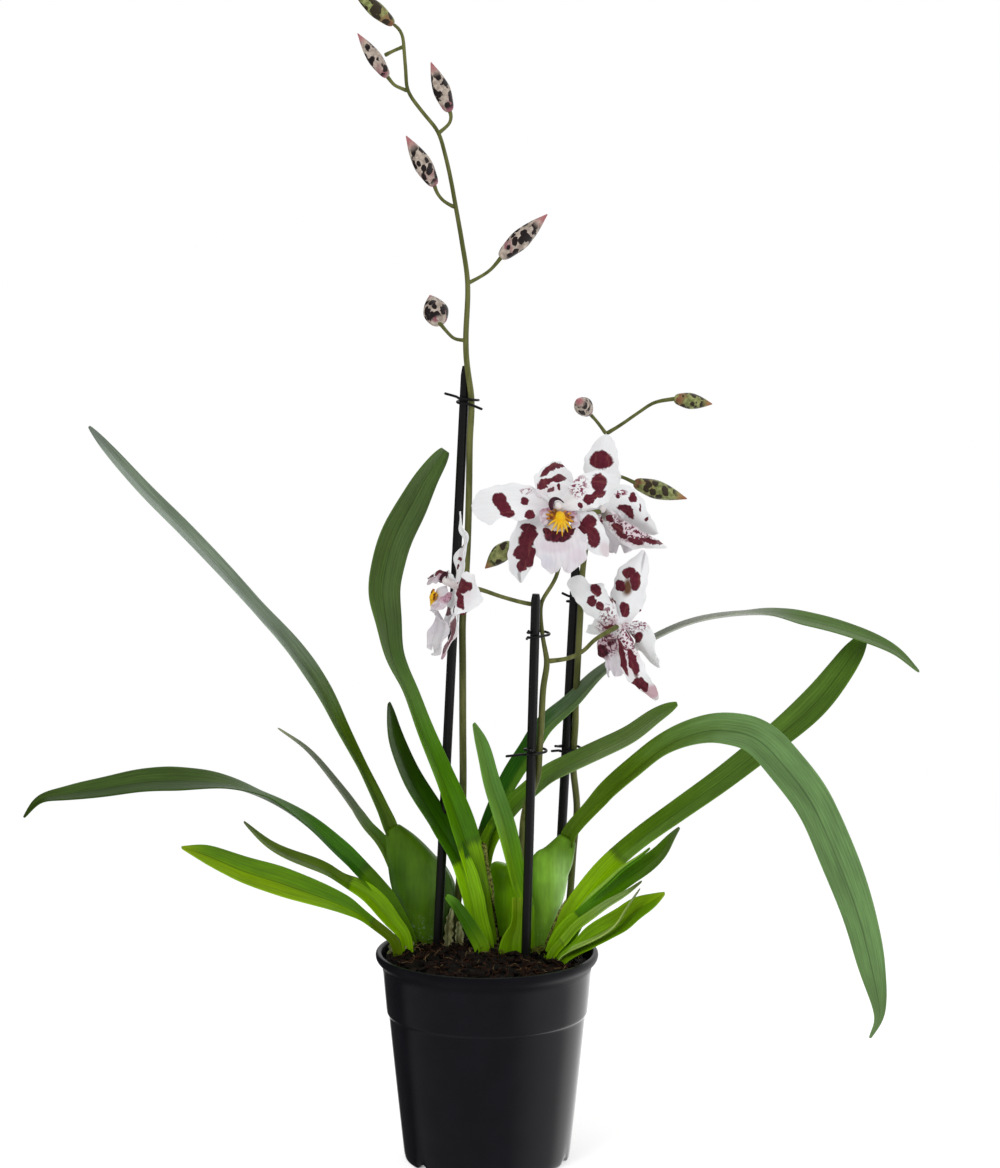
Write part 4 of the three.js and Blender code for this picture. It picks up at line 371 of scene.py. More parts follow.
# Spots of each blade: across and along it, half length, half width and turn in degrees, then how strong.
# Tints are the same with a colour, and with 1 where they are mottled.
BLOTCHES = {
    "flower_main": {
        0: ([(2.5, 18.5, 4.5, 2.5, 50, 1), (-4.5, 13.5, 5, 1.5, 30, 1), (-6.5, 11, 3, 1, 5, 1),
            (-1, 10, 2, 1.5, 30, 0.95), (-3, 23.5, 9.5, 1.5, 60, 1), (3, 12, 2, 0.9, -70, 1)],
            [(-3, 10.5, 9, 3, 10, 0.3, "#d4b8c2")]),
        1: ([(3, 31.5, 4, 3.5, -75, 1), (-1, 29.5, 4, 3, 65, 1), (-4.5, 27, 4, 2, 80, 1),
            (2.5, 18, 2, 2, 80, 1), (-5, 15, 2.5, 2, -30, 1)], [(8, 18, 3, 1.5, -85, 0.9, "#8a3550", 1),
            (7, 9.5, 2.5, 1.5, -90, 0.8, "#8a3550", 1), (1, 12.5, 8.5, 8, 35, 0.15, "#d9c4ce")]),
        2: ([(-3.5, 25, 4.5, 3.5, -5, 1), (2.5, 24, 5, 2, -80, 1), (4, 17.5, 3, 2.5, 80, 1),
            (5, 11.5, 1.5, 1.5, -50, 1), (8, 10.5, 1, 0.9, -80, 1), (10.5, 10, 1, 0.6, -80, 1)],
            [(-4.5, 15, 5.5, 4, -20, 1, "#8e3c5c", 1)]),
        3: ([(-2.5, 24, 6, 5, 40, 1), (-1.5, 29.5, 3.5, 3.5, 20, 1), (1.5, 32.5, 3.5, 3, -75, 1),
            (-3, 34.5, 5, 4.5, 70, 1), (0, 39.5, 4, 2.5, 85, 1), (0.5, 18.5, 4, 1.5, 25, 1)],
            [(1, 46, 5, 0.9, -80, 0.5, "#5a5258")]),
        4: ([(1.5, 16, 3.5, 3, -50, 1), (-3, 18, 4, 3.5, 5, 1), (0.5, 20.5, 3, 2, -55, 1),
            (1, 25, 5, 3.5, 65, 1), (1.5, 10.5, 1.5, 1.5, -5, 1)],
            [(-0.5, 35, 5.5, 3, 80, 0.4, "#c8a4b0")]),
        "lip": ([(1, 15, 6.5, 3, 0, 1), (-5.5, 11.5, 2.5, 2.5, 85, 1), (7, 12.5, 2, 2, -20, 1)],
            [(2, 20, 8, 3, -5, 0.3, "#c8a8bc"), (8.5, 28, 5, 4, -30, 0.35, "#c4c8d8"),
            (-8.5, 26, 4, 3.5, -5, 0.25, "#d8b8cc")]),
    },
    "flower_right": {
        0: ([(0, 25.5, 6, 4.5, 5, 1)], [(0.5, 24.5, 4, 1, -85, 0.75, "#7a5a3c"),
            (-3.5, 24.5, 3.5, 0.9, -80, 0.6, "#8a4a3c")]),
        1: ([(3, 16, 2.5, 1.5, -25, 1), (-4.5, 17, 8, 2.5, -85, 1), (2.5, 9.5, 1, 0.9, 0, 1),
            (2, 21.5, 2, 0.6, -65, 1), (1, 29, 1.5, 0.6, -60, 1), (-4.5, 13, 2, 1.5, 85, 1),
            (-8.5, 36, 2, 1.5, 50, 1)], [(4.5, 11, 2.5, 2, 80, 1, "#8a3550", 1)]),
        3: ([(0.5, 6.5, 2, 1.5, 60, 1), (0.5, 13, 3, 2, 70, 1), (-1, 17.5, 3, 2, 85, 1),
            (-1, 25.5, 4, 1.5, 90, 1), (1.5, 32, 5, 1.5, 90, 1), (1.5, 38.5, 3, 1, 90, 0.9)],
            [(2.5, 20.5, 14, 6.5, 85, 0.5, "#d8b4c0"), (2, 19.5, 14, 5, 85, 1, "#6e2038", 1),
            (-2, 2, 5, 3.5, 30, 0.8, "#6a5a48")]),
        4: ([], [(4.5, 5.5, 8, 7, 0, 0.4, "#d8b4c0"), (4, 4, 7, 5.5, 5, 1, "#6e2038", 1)]),
    },
    "flower_lower": {
        0: ([(3, 29, 3.5, 2.5, -25, 1), (-2, 25.5, 4.5, 2.5, 80, 1), (6, 20.5, 3, 3, -65, 1),
            (-1, 9.5, 3.5, 2.5, 60, 1), (6.5, 10.5, 2, 1, 55, 1), (-9, 11, 1, 0.6, 75, 1),
            (-10.5, 11.5, 1, 0.6, 70, 1)], [(1.5, 21.5, 5, 2.5, 85, 1, "#6e4c34"),
            (-2, 38, 6, 0.6, 80, 0.5, "#8a8488")]),
        1: ([(-6, 23.5, 3.5, 2.5, -85, 1), (0, 21.5, 3, 2.5, -45, 1), (0, 16, 2.5, 2, -55, 1),
            (-6, 13, 2, 0.6, -30, 0.9)], [(2, 8.5, 6.5, 4.5, -55, 0.9, "#7a2c48", 1),
            (2, 4, 3.5, 2.5, -35, 0.5, "#c89aa8")]),
        2: ([(-1.5, 13.5, 5.5, 2, -5, 1)],
            [(9.5, 8, 5.5, 4.5, -65, 1, "#8e3c5c", 1), (0, 1.5, 14, 3.5, -25, 0.5, "#c89aa8"),
            (-7, 8, 14, 5.5, -25, 1, "#7a2c48", 1)]),
        3: ([(-4, 14.5, 10, 2, -85, 1), (1, 19.5, 7, 2, -85, 1), (-2.5, 31.5, 3.5, 2, -65, 1),
            (0, 33.5, 4.5, 2, -75, 1)], [(1, 40.5, 5, 5, -70, 0.75, "#c08a9a"),
            (-0.5, 13.5, 14, 6, -85, 0.4, "#d4b4be"), (1.5, 7.5, 9, 6, -85, 1, "#7a2c48", 1),
            (0.5, 22.5, 8, 1, -80, 0.8, "#5c3a2c")]),
        4: ([(-1.5, 6, 4, 1.5, 75, 1)],
            [(-0.5, 4.5, 14, 7, 50, 0.5, "#c89aa8"), (2.5, 9.5, 14, 7, 50, 1, "#7a2c48", 1)]),
        "lip": ([(-3, 16.5, 3, 2.5, 55, 1), (0.5, 9, 3.5, 1.5, -60, 0.85), (-4, 7.5, 3, 1.5, -50, 0.85)],
            [(-1, 11, 8, 6, -55, 0.5, "#c08a9c"), (-1, 12, 8, 6.5, -70, 1, "#6e2440", 1),
            (1.5, 26, 11, 5, -80, 0.2, "#dcd4de")]),
    },
    "flower_left": {
        0: ([(-4, 14, 1.5, 1, -15, 1), (-3.5, 9.5, 1.5, 1, 80, 1), (-7.5, 22.5, 3.5, 2.5, -5, 0.8)],
            [(-3.5, 16, 6.5, 2, -70, 0.4, "#c8b8c0")]),
        1: ([(5.5, 8.5, 5.5, 2.5, 60, 1), (-2, 4.5, 8, 4, -85, 1), (-3, 10.5, 4, 2.5, -50, 1),
            (11.5, 17, 5, 1.5, -65, 1)], [(2, 5.5, 11.5, 6.5, 90, 0.3, "#d8b8c4")]),
        2: ([(0, 25, 10, 2, 55, 1), (2, 16.5, 7.5, 3, 65, 1)], []),
        3: ([(0, 23, 7.5, 2.5, -85, 0.9), (1, 33, 3, 1.5, -80, 0.8)],
            [(-1, 37.5, 5, 2.5, 20, 0.8, "#b07c90"), (5, 27.5, 14, 8.5, 0, 0.4, "#c8a0ac")]),
        4: ([(8, 24, 10, 2.5, 30, 0.9)], []),
        "lip": ([], [(7.5, 28, 14, 5, 20, 0.3, "#d8c8dc")]),
    },
}


# Curves and frames

def keyed(keys, u):
    """Smooth value at u from a few (u, value) keys, by cubic Hermite spans."""
    last = len(keys) - 1
    if u <= keys[0][0]:
        return keys[0][1]
    if u >= keys[last][0]:
        return keys[last][1]
    i = 0
    while u > keys[i + 1][0]:
        i += 1

    def slope(k):
        a = keys[max(k - 1, 0)]
        b = keys[min(k + 1, last)]
        return (b[1] - a[1]) / (b[0] - a[0])

    span = keys[i + 1][0] - keys[i][0]
    t = (u - keys[i][0]) / span
    return (
        (2 * t ** 3 - 3 * t ** 2 + 1) * keys[i][1]
        + (t ** 3 - 2 * t ** 2 + t) * span * slope(i)
        + (3 * t ** 2 - 2 * t ** 3) * keys[i + 1][1]
        + (t ** 3 - t ** 2) * span * slope(i + 1)
    )


def ramp(keys, u):
    """Straight-line value at u from a few (u, value) keys."""
    if u <= keys[0][0]:
        return keys[0][1]
    for (u0, a), (u1, b) in zip(keys, keys[1:]):
        if u <= u1:
            return a + (b - a) * (u - u0) / (u1 - u0)
    return keys[-1][1]


class Route:
    """Curve through points, spaced by chord length."""

    def __init__(self, points):
        at = [0.0]
        for a, b in zip(points, points[1:]):
            at.append(at[-1] + math.dist(a, b))
        self.length = at[-1]
        self.axes = [[(s / self.length, p[k]) for s, p in zip(at, points)] for k in range(3)]

    def at(self, u):
        return Vector([keyed(keys, u) for keys in self.axes])

    def tangent(self, u):
        return (self.at(min(u + 0.002, 1)) - self.at(max(u - 0.002, 0))).normalized()


def frame_at(route, facing, u):
    """Centre, tangent, side and face of a route at u. facing is one direction or (u, direction) keys."""
    if not isinstance(facing[0], (tuple, list)):
        facing = [(0, facing)]
    aim = Vector([ramp([(k, v[axis]) for k, v in facing], u) for axis in range(3)])
    tangent = route.tangent(u)
    side = tangent.cross(aim).normalized()
    return route.at(u), tangent, side, side.cross(tangent).normalized()


# Meshes

def new_mesh():
    """Empty bmesh and its two maps: shares of the width and length, and millimetres."""
    bm = bmesh.new()
    return bm, (bm.loops.layers.uv.new("share"), bm.loops.layers.uv.new("metric"))


def placed(name, data):
    """New object in the scene."""
    thing = bpy.data.objects.new(name, data)
    bpy.context.scene.collection.objects.link(thing)
    return thing


def finish_piece(bm, name, materials, body_nodes, levels=1, solid=0.0):
    """Turns a bmesh in millimetres into a piece of the object that rides on the root body."""
    for vert in bm.verts:
        vert.co *= MM
    mesh = bpy.data.meshes.new(name)
    bm.to_mesh(mesh)
    bm.free()
    for polygon in mesh.polygons:
        polygon.use_smooth = True
    for material in materials:
        mesh.materials.append(material)
    piece = placed(name, mesh)
    if solid:
        skin = piece.modifiers.new("thickness", "SOLIDIFY")
        skin.thickness = solid * MM
        skin.offset = 0.0
        skin.use_even_offset = True
    if levels:
        fine = piece.modifiers.new("smoothing", "SUBSURF")
        fine.levels = levels
        fine.render_levels = levels
    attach(piece, "root")
    if body_nodes:
        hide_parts(*body_nodes)
    return piece


def add_grid(bm, layers, across, along, place, index=0):
    """Adds a grid whose corners place(v, u) puts in space, with v from -1 to 1 and u from 0 to 1.
    place also gives the distance across and along in millimetres for the metric map."""
    share, metric = layers
    made = bmesh.ops.create_grid(bm, x_segments=across, y_segments=along, size=1.0)["verts"]
    where = {}
    for vert in made:
        v, u = vert.co.x, (vert.co.y + 1) / 2
        where[vert] = (v, u) + place(v, u)
    for face in {face for vert in made for face in vert.link_faces}:
        face.material_index = index
        for loop in face.loops:
            v, u, _, x, y = where[loop.vert]
            loop[share].uv = ((v + 1) / 2, u)
            loop[metric].uv = (x / MAP + 0.5, y / MAP)
    for vert in made:
        vert.co = where[vert][2]
    return made


def add_blade(bm, layers, spec, across, along, fold=((0, 22), (1, 8)), ruffle=0.0, frill=0.0, shape=None,
              index=0):
    """Adds one thin blade along its route. ruffle waves it to its face and frill waves its edges, both in
    millimetres, and shape(v, u, tangent, face) adds to the place of each corner."""
    route = Route(spec["points"])
    angle_keys = spec.get("fold", fold)

    def place(v, u):
        centre, tangent, side, face = frame_at(route, spec["facing"], u)
        widths = [max(keyed(spec[edge], u), 0.25) for edge in ("left", "right")]
        width = widths[v >= 0]
        angle = math.radians(ramp(angle_keys, u))
        bend = math.sqrt(v * v + 0.012) - 0.05
        wave = ruffle * v * v * math.sin(u * 15 + (0.9 if v > 0 else 2.6)) * math.sin(math.pi * u)
        edge = v * abs(v) ** 3 * frill * math.sin(u * 37 + (1.7 if v > 0 else 4.2)) * math.sin(math.pi * u)
        point = centre + side * (v * width * math.cos(angle) + edge)
        point += face * ((bend - 0.5) * sum(widths) / 2 * math.sin(angle) + wave)
        if shape:
            point += shape(v, u, tangent, face)
        return point, v * width, u * route.length

    return add_grid(bm, layers, across, along, place, index)


def add_tube(bm, layers, points, radius, sides, steps, flat=1.0, facing=(0.05, -1, 0.02), lobes=None,
             index=0):
    """Adds a closed tube along a route. lobes(angle, u) scales its radius."""
    route = Route(points)

    def place(v, u):
        centre, _, side, face = frame_at(route, facing, u)
        angle = math.pi * v
        r = keyed(radius, u) * (lobes(angle, u) if lobes else 1.0)
        point = centre + side * r * math.cos(angle) + face * r * flat * math.sin(angle)
        return point, v * math.pi * keyed(radius, u), u * route.length

    made = add_grid(bm, layers, sides, steps, place)
    bmesh.ops.remove_doubles(bm, verts=made, dist=1e-4)
    made = [vert for vert in made if vert.is_valid]
    rims = {edge for vert in made for edge in vert.link_edges if edge.is_boundary}
    bmesh.ops.holes_fill(bm, edges=list(rims), sides=0)
    faces = {face for vert in made for face in vert.link_faces}
    for face in faces:
        face.material_index = index
    bmesh.ops.recalc_face_normals(bm, faces=list(faces))


# Shader helpers

def rgb(code):
    """Linear colour from a hex code."""
    value = [int(code[i:i + 2], 16) / 255 for i in (1, 3, 5)]
    return tuple(c / 12.92 if c <= 0.04045 else ((c + 0.055) / 1.055) ** 2.4 for c in value) + (1.0,)


def put(tree, socket, value):
    """Links a socket or sets its value."""
    if isinstance(value, bpy.types.NodeSocket):
        tree.links.new(value, socket)
    else:
        socket.default_value = value


def add(tree, kind, sockets=None, **settings):
    node = tree.nodes.new(kind)
    for key, value in settings.items():
        setattr(node, key, value)
    for key, value in (sockets or {}).items():
        put(tree, node.inputs[key], value)
    return node


def calc(tree, operation, a, b=0.0):
    return add(tree, "ShaderNodeMath", {0: a, 1: b}, operation=operation).outputs[0]


def vector(tree, operation, a, b):
    return add(tree, "ShaderNodeVectorMath", {0: a, 1: b}, operation=operation).outputs[0]


def scaled(tree, a, factor):
    return add(tree, "ShaderNodeVectorMath", {0: a, "Scale": factor}, operation="SCALE").outputs[0]


def length(tree, a):
    return add(tree, "ShaderNodeVectorMath", {0: a}, operation="LENGTH").outputs["Value"]


def axes(tree, a):
    return add(tree, "ShaderNodeSeparateXYZ", {0: a}).outputs


def joined(tree, **parts):
    return add(tree, "ShaderNodeCombineXYZ", {key.upper(): value for key, value in parts.items()}).outputs[0]


def coordinates(tree, kind="Object"):
    return add(tree, "ShaderNodeTexCoord").outputs[kind]


def uv(tree, name):
    return add(tree, "ShaderNodeUVMap", uv_map=name).outputs[0]


def mix(tree, factor, a, b):
    return add(tree, "ShaderNodeMix", {0: factor, 6: a, 7: b}, data_type="RGBA").outputs[2]


def smooth_step(tree, value, low, high, start=0.0, end=1.0):
    sockets = {"Value": value, "From Min": low, "From Max": high, "To Min": start, "To Max": end}
    return add(tree, "ShaderNodeMapRange", sockets, interpolation_type="SMOOTHSTEP").outputs[0]


def texture(tree, place, scale, detail=2.0, roughness=0.5):
    return add(tree, "ShaderNodeTexNoise", {"Vector": place, "Scale": scale, "Detail": detail,
                                            "Roughness": roughness}).outputs


def speckle(tree, place, scale, detail=2.0, roughness=0.5):
    return texture(tree, place, scale, detail, roughness)["Fac"]


def new_group(name, inputs, outputs):
    """Node group with named sockets. inputs are (name, kind, default)."""
    tree = bpy.data.node_groups.new(name, "ShaderNodeTree")
    for label, kind, default in inputs:
        socket = tree.interface.new_socket(label, in_out="INPUT", socket_type="NodeSocket" + kind)
        socket.default_value = default
    for label, kind in outputs:
        tree.interface.new_socket(label, in_out="OUTPUT", socket_type="NodeSocket" + kind)
    return tree, tree.nodes.new("NodeGroupInput").outputs, tree.nodes.new("NodeGroupOutput").inputs


def use_group(tree, group, sockets):
    return add(tree, "ShaderNodeGroup", sockets, node_tree=group)


def new_material(name):
    material = bpy.data.materials.new(name)
    material.use_nodes = True
    tree = material.node_tree
    return material, tree, tree.nodes["Principled BSDF"]


def feed(tree, surface, **values):
    """Sets or links the sockets of a surface. Keys are their names with spaces as underscores."""
    for key, value in values.items():
        put(tree, surface.inputs[key.replace("_", " ")], value)


def translucent(tree, surface, weight, radius, scale):
    feed(tree, surface, Subsurface_Weight=weight, Subsurface_Radius=radius, Subsurface_Scale=scale)


def bump(tree, surface, height, strength, distance):
    node = add(tree, "ShaderNodeBump", {"Height": height, "Strength": strength, "Distance": distance})
    tree.links.new(node.outputs[0], surface.inputs["Normal"])


# Shared shader groups

def warp_group():
    """Map position in millimetres, pushed about by noise so that edges wander."""
    tree, given, result = new_group(
        "Warped map",
        [("Map", "Vector", (0, 0, 0)), ("Seed", "Float", 0.0), ("Amount", "Float", 1.6),
         ("Scale", "Float", 0.28)],
        [("Millimetres", "Vector")],
    )
    metric = vector(tree, "MULTIPLY", vector(tree, "ADD", given["Map"], (-0.5, 0, 0)), (MAP, MAP, MAP))
    shifted = vector(tree, "ADD", metric, joined(tree, z=given["Seed"]))
    cloud = texture(tree, shifted, given["Scale"], 2.5, 0.55)["Color"]
    push = scaled(tree, vector(tree, "SUBTRACT", cloud, (0.5, 0.5, 0.5)), given["Amount"])
    tree.links.new(vector(tree, "ADD", metric, push), result["Millimetres"])
    return tree


def blotch_group():
    """Mask of one round or long spot. Size holds its half length and half width."""
    tree, given, result = new_group(
        "Blotch",
        [("Millimetres", "Vector", (0, 0, 0)), ("Centre", "Vector", (0, 0, 0)), ("Size", "Vector", (1, 1, 1)),
         ("Angle", "Float", 0.0), ("Soft", "Float", 0.09)],
        [("Mask", "Float")],
    )
    away = vector(tree, "SUBTRACT", given["Millimetres"], given["Centre"])
    sockets = {"Vector": vector(tree, "MULTIPLY", away, (1, 1, 0)), "Angle": given["Angle"]}
    turned_back = add(tree, "ShaderNodeVectorRotate", sockets, rotation_type="Z_AXIS", invert=True).outputs[0]
    reach = length(tree, vector(tree, "DIVIDE", turned_back, given["Size"]))
    low, high = [calc(tree, operation, 1.0, given["Soft"]) for operation in ("SUBTRACT", "ADD")]
    tree.links.new(smooth_step(tree, reach, low, high, 1.0, 0.0), result["Mask"])
    return tree


LEAF_PARTS = ("Low left", "Low right", "High left", "High right", "Tip", "Sheath")


def leaf_group():
    """Colours, gloss and relief of a strap leaf from its sheath to its tip."""
    numbers = {"Joint": 0.2, "Turn": 0.5, "Tip start": 0.8, "Long": 150.0, "Wide": 18.0, "Seed": 0.0}
    tree, given, result = new_group(
        "Leaf skin",
        [("Share", "Vector", (0, 0, 0))]
        + [(label, "Color", (0.1, 0.2, 0.02, 1)) for label in LEAF_PARTS]
        + [(label, "Float", value) for label, value in numbers.items()],
        [("Colour", "Color"), ("Roughness", "Float"), ("Height", "Float")],
    )
    across, along, _ = axes(tree, given["Share"])
    millimetres = calc(tree, "MULTIPLY", along, given["Long"])
    width = calc(tree, "MULTIPLY", across, given["Wide"])

    def drawn(wide, long, detail):
        """Noise drawn out along the blade."""
        place = joined(tree, x=calc(tree, "MULTIPLY", width, wide),
                       y=calc(tree, "MULTIPLY", millimetres, long), z=given["Seed"])
        return speckle(tree, place, 1.0, detail, 0.62)

    streak = drawn(1.3, 0.025, 4.0)
    fine = drawn(4.0, 0.12, 2.0)
    patch = drawn(0.1, 0.03, 2.0)

    def around(value, middle, reach):
        """Rises from 0 to 1 within reach on both sides of middle."""
        low, high = [calc(tree, operation, middle, reach) for operation in ("SUBTRACT", "ADD")]
        return smooth_step(tree, value, low, high)

    # Past Turn the upper colours take over. They carry a painted sheen, and each half of the blade has partly
    # its own painted light.
    wander = calc(tree, "MULTIPLY", calc(tree, "SUBTRACT", patch, 0.5), 0.16)
    high = around(calc(tree, "ADD", along, wander), given["Turn"], 0.16)
    half = smooth_step(tree, across, 0.38, 0.62)
    left, right = [mix(tree, high, given["Low " + edge], given["High " + edge]) for edge in ("left", "right")]
    ending = smooth_step(tree, along, given["Tip start"], calc(tree, "ADD", given["Tip start"], 0.12))
    blade_colour = mix(tree, ending, mix(tree, half, left, right), given["Tip"])
    ragged = calc(tree, "MULTIPLY", calc(tree, "SUBTRACT", streak, 0.5), 0.03)
    joint = calc(tree, "ADD", given["Joint"], ragged)
    base = mix(tree, around(along, joint, 0.012), given["Sheath"], blade_colour)
    seam_end = smooth_step(tree, along, joint, calc(tree, "ADD", joint, 0.016), 1.0, 0.0)
    seam = calc(tree, "MULTIPLY", around(along, joint, 0.01), seam_end)
    base = mix(tree, calc(tree, "MULTIPLY", seam, 0.55), base, (0.02, 0.025, 0.008, 1))
    veins = add(tree, "ShaderNodeTexWave", {
        "Vector": joined(tree, x=width), "Scale": 0.16, "Distortion": 0.8, "Detail": 2.0,
    }, wave_type="BANDS", bands_direction="X").outputs["Fac"]
    middle = calc(tree, "ABSOLUTE", calc(tree, "SUBTRACT", across, 0.5))
    shade = smooth_step(tree, streak, 0.3, 0.7, 0.82, 1.16)
    # The last two factors darken the midrib line and lighten a strip along each edge. That strip is partly
    # the leaf's pale margin and partly a painted highlight.
    for value, low, high, start, end in (
        (fine, 0.3, 0.7, 0.9, 1.1), (patch, 0.3, 0.7, 0.88, 1.12), (veins, 0.1, 0.9, 0.95, 1.05),
        (middle, 0.0, 0.04, 0.62, 1.0), (middle, 0.46, 0.5, 1.0, 1.3),
    ):
        shade = calc(tree, "MULTIPLY", shade, smooth_step(tree, value, low, high, start, end))
    tree.links.new(scaled(tree, base, shade), result["Colour"])
    tree.links.new(smooth_step(tree, patch, 0.2, 0.8, 0.36, 0.48), result["Roughness"])
    height = calc(tree, "ADD", calc(tree, "MULTIPLY", veins, 0.5), calc(tree, "ADD", streak, fine))
    tree.links.new(height, result["Height"])
    return tree


WARP = warp_group()
BLOTCH = blotch_group()
LEAF = leaf_group()
BLOTCH_SPREAD = 1.12
TINT_SOFT = 0.45
# Light that the skin mirrors, and how much reaches each part of a leaf
LEAF_SHEEN = 0.012
LEAF_LIGHT = 0.75
LEAF_LIGHTS = (0.62, 0.62, 0.82, 0.82, 0.85, 0.64)


def shown(code, light=LEAF_LIGHT):
    """Base colour that shows as the given colour where the studio gives this much light."""
    return tuple(max((value - LEAF_SHEEN) / light, 0.0) for value in rgb(code)[:3]) + (1.0,)


def leaf_material(name, look, long, wide, seed):
    """Skin of one leaf. look holds the colours that it shows, in the order of LEAF_PARTS, and then its joint,
    where the upper colours take over and where the tip colour starts. The upper colours carry a painted
    sheen."""
    *codes, joint, turn, tip_start = look
    material, tree, surface = new_material(name + "_skin")
    sockets = {label: shown(code, light) for label, code, light in zip(LEAF_PARTS, codes, LEAF_LIGHTS)}
    sockets.update({"Share": uv(tree, "share"), "Joint": joint, "Turn": turn, "Tip start": tip_start,
                    "Long": long, "Wide": wide, "Seed": seed})
    skin = use_group(tree, LEAF, sockets).outputs
    feed(tree, surface, Base_Color=skin["Colour"], Roughness=skin["Roughness"], Specular_IOR_Level=0.2)
    translucent(tree, surface, 0.06, (0.4, 1.0, 0.2), 0.001)
    bump(tree, surface, skin["Height"], 0.2, 0.0002)
    return material


def petal_material(name, ground, blotches, seed, tints=(), veined=0.07, maroon="#5a1626"):
    """Petal skin: a pale ground with blotches and tints, both in the form that BLOTCHES has."""
    material, tree, surface = new_material(name + "_skin")
    place = uv(tree, "metric")
    warped = use_group(tree, WARP, {"Map": place, "Seed": seed, "Amount": 3.6}).outputs[0]
    smooth = use_group(tree, WARP, {"Map": place, "Seed": seed + 5, "Amount": 2.2, "Scale": 0.12}).outputs[0]
    fine = speckle(tree, smooth, 0.5, 4.0, 0.6)
    lines = speckle(tree, vector(tree, "MULTIPLY", smooth, (0.7, 0.06, 1)), 1.0, 3.0)
    colour = mix(tree, smooth_step(tree, lines, 0.35, 0.7, 0.0, veined), rgb(ground), rgb("#b4b4b8"))
    dots = smooth_step(tree, speckle(tree, warped, 0.62), 0.5, 0.54)

    def mask(place, spot, spread, **settings):
        x, y, half_long, half_wide, angle, strength = spot
        node = use_group(tree, BLOTCH, {
            "Millimetres": place, "Centre": (x, y, 0), "Angle": math.radians(angle),
            "Size": (half_long * spread, half_wide * spread, 1), **settings,
        })
        return node.outputs[0], strength

    for *spot, hue, mottled in [(tint + (0,))[:8] for tint in tints]:
        shape, strength = mask(smooth, spot, 1, Soft=TINT_SOFT)
        if mottled:
            shape = calc(tree, "MULTIPLY", shape, dots)
        colour = mix(tree, calc(tree, "MULTIPLY", shape, strength), colour, rgb(hue))
    total = None
    for spot in blotches:
        shape = calc(tree, "MULTIPLY", *mask(warped, spot, BLOTCH_SPREAD))
        total = shape if total is None else calc(tree, "MAXIMUM", total, shape)
    if total is not None:
        dark = mix(tree, smooth_step(tree, fine, 0.35, 0.7), rgb(maroon), rgb("#6e2032"))
        dark = mix(tree, smooth_step(tree, lines, 0.54, 0.64, 0.0, 0.4), dark, rgb("#8c4a44"))
        colour = mix(tree, total, colour, dark)
    feed(tree, surface, Base_Color=colour, Roughness=0.55, Specular_IOR_Level=0.3)
    translucent(tree, surface, 0.22, (1.0, 0.8, 0.8), 0.0012)
    bump(tree, surface, calc(tree, "ADD", lines, calc(tree, "MULTIPLY", fine, 0.4)), 0.16, 0.00025)
    return material


def plain_material(name, colour, other, scale, roughness=0.5, specular=0.4, stretch=(1, 1, 1)):
    """Two-tone skin with gentle relief, read in object coordinates."""
    material, tree, surface = new_material(name)
    cloud = speckle(tree, vector(tree, "MULTIPLY", coordinates(tree), stretch), scale, 4.0, 0.6)
    feed(tree, surface, Base_Color=mix(tree, smooth_step(tree, cloud, 0.35, 0.65), rgb(colour), rgb(other)),
         Roughness=roughness, Specular_IOR_Level=specular)
    bump(tree, surface, cloud, 0.15, 0.0003)
    return material


# Pot

def turned(bm, profile, steps):
    """Spins a profile of (radius, height) points round the vertical axis."""
    verts = [bm.verts.new((r, 0, z)) for r, z in profile]
    edges = [bm.edges.new(pair) for pair in zip(verts, verts[1:])]
    bmesh.ops.spin(bm, geom=verts + edges, cent=(0, 0, 0), axis=(0, 0, 1), angle=2 * math.pi, steps=steps,
                   use_merge=True)
    bmesh.ops.remove_doubles(bm, verts=bm.verts, dist=1e-4)
    bmesh.ops.recalc_face_normals(bm, faces=bm.faces)


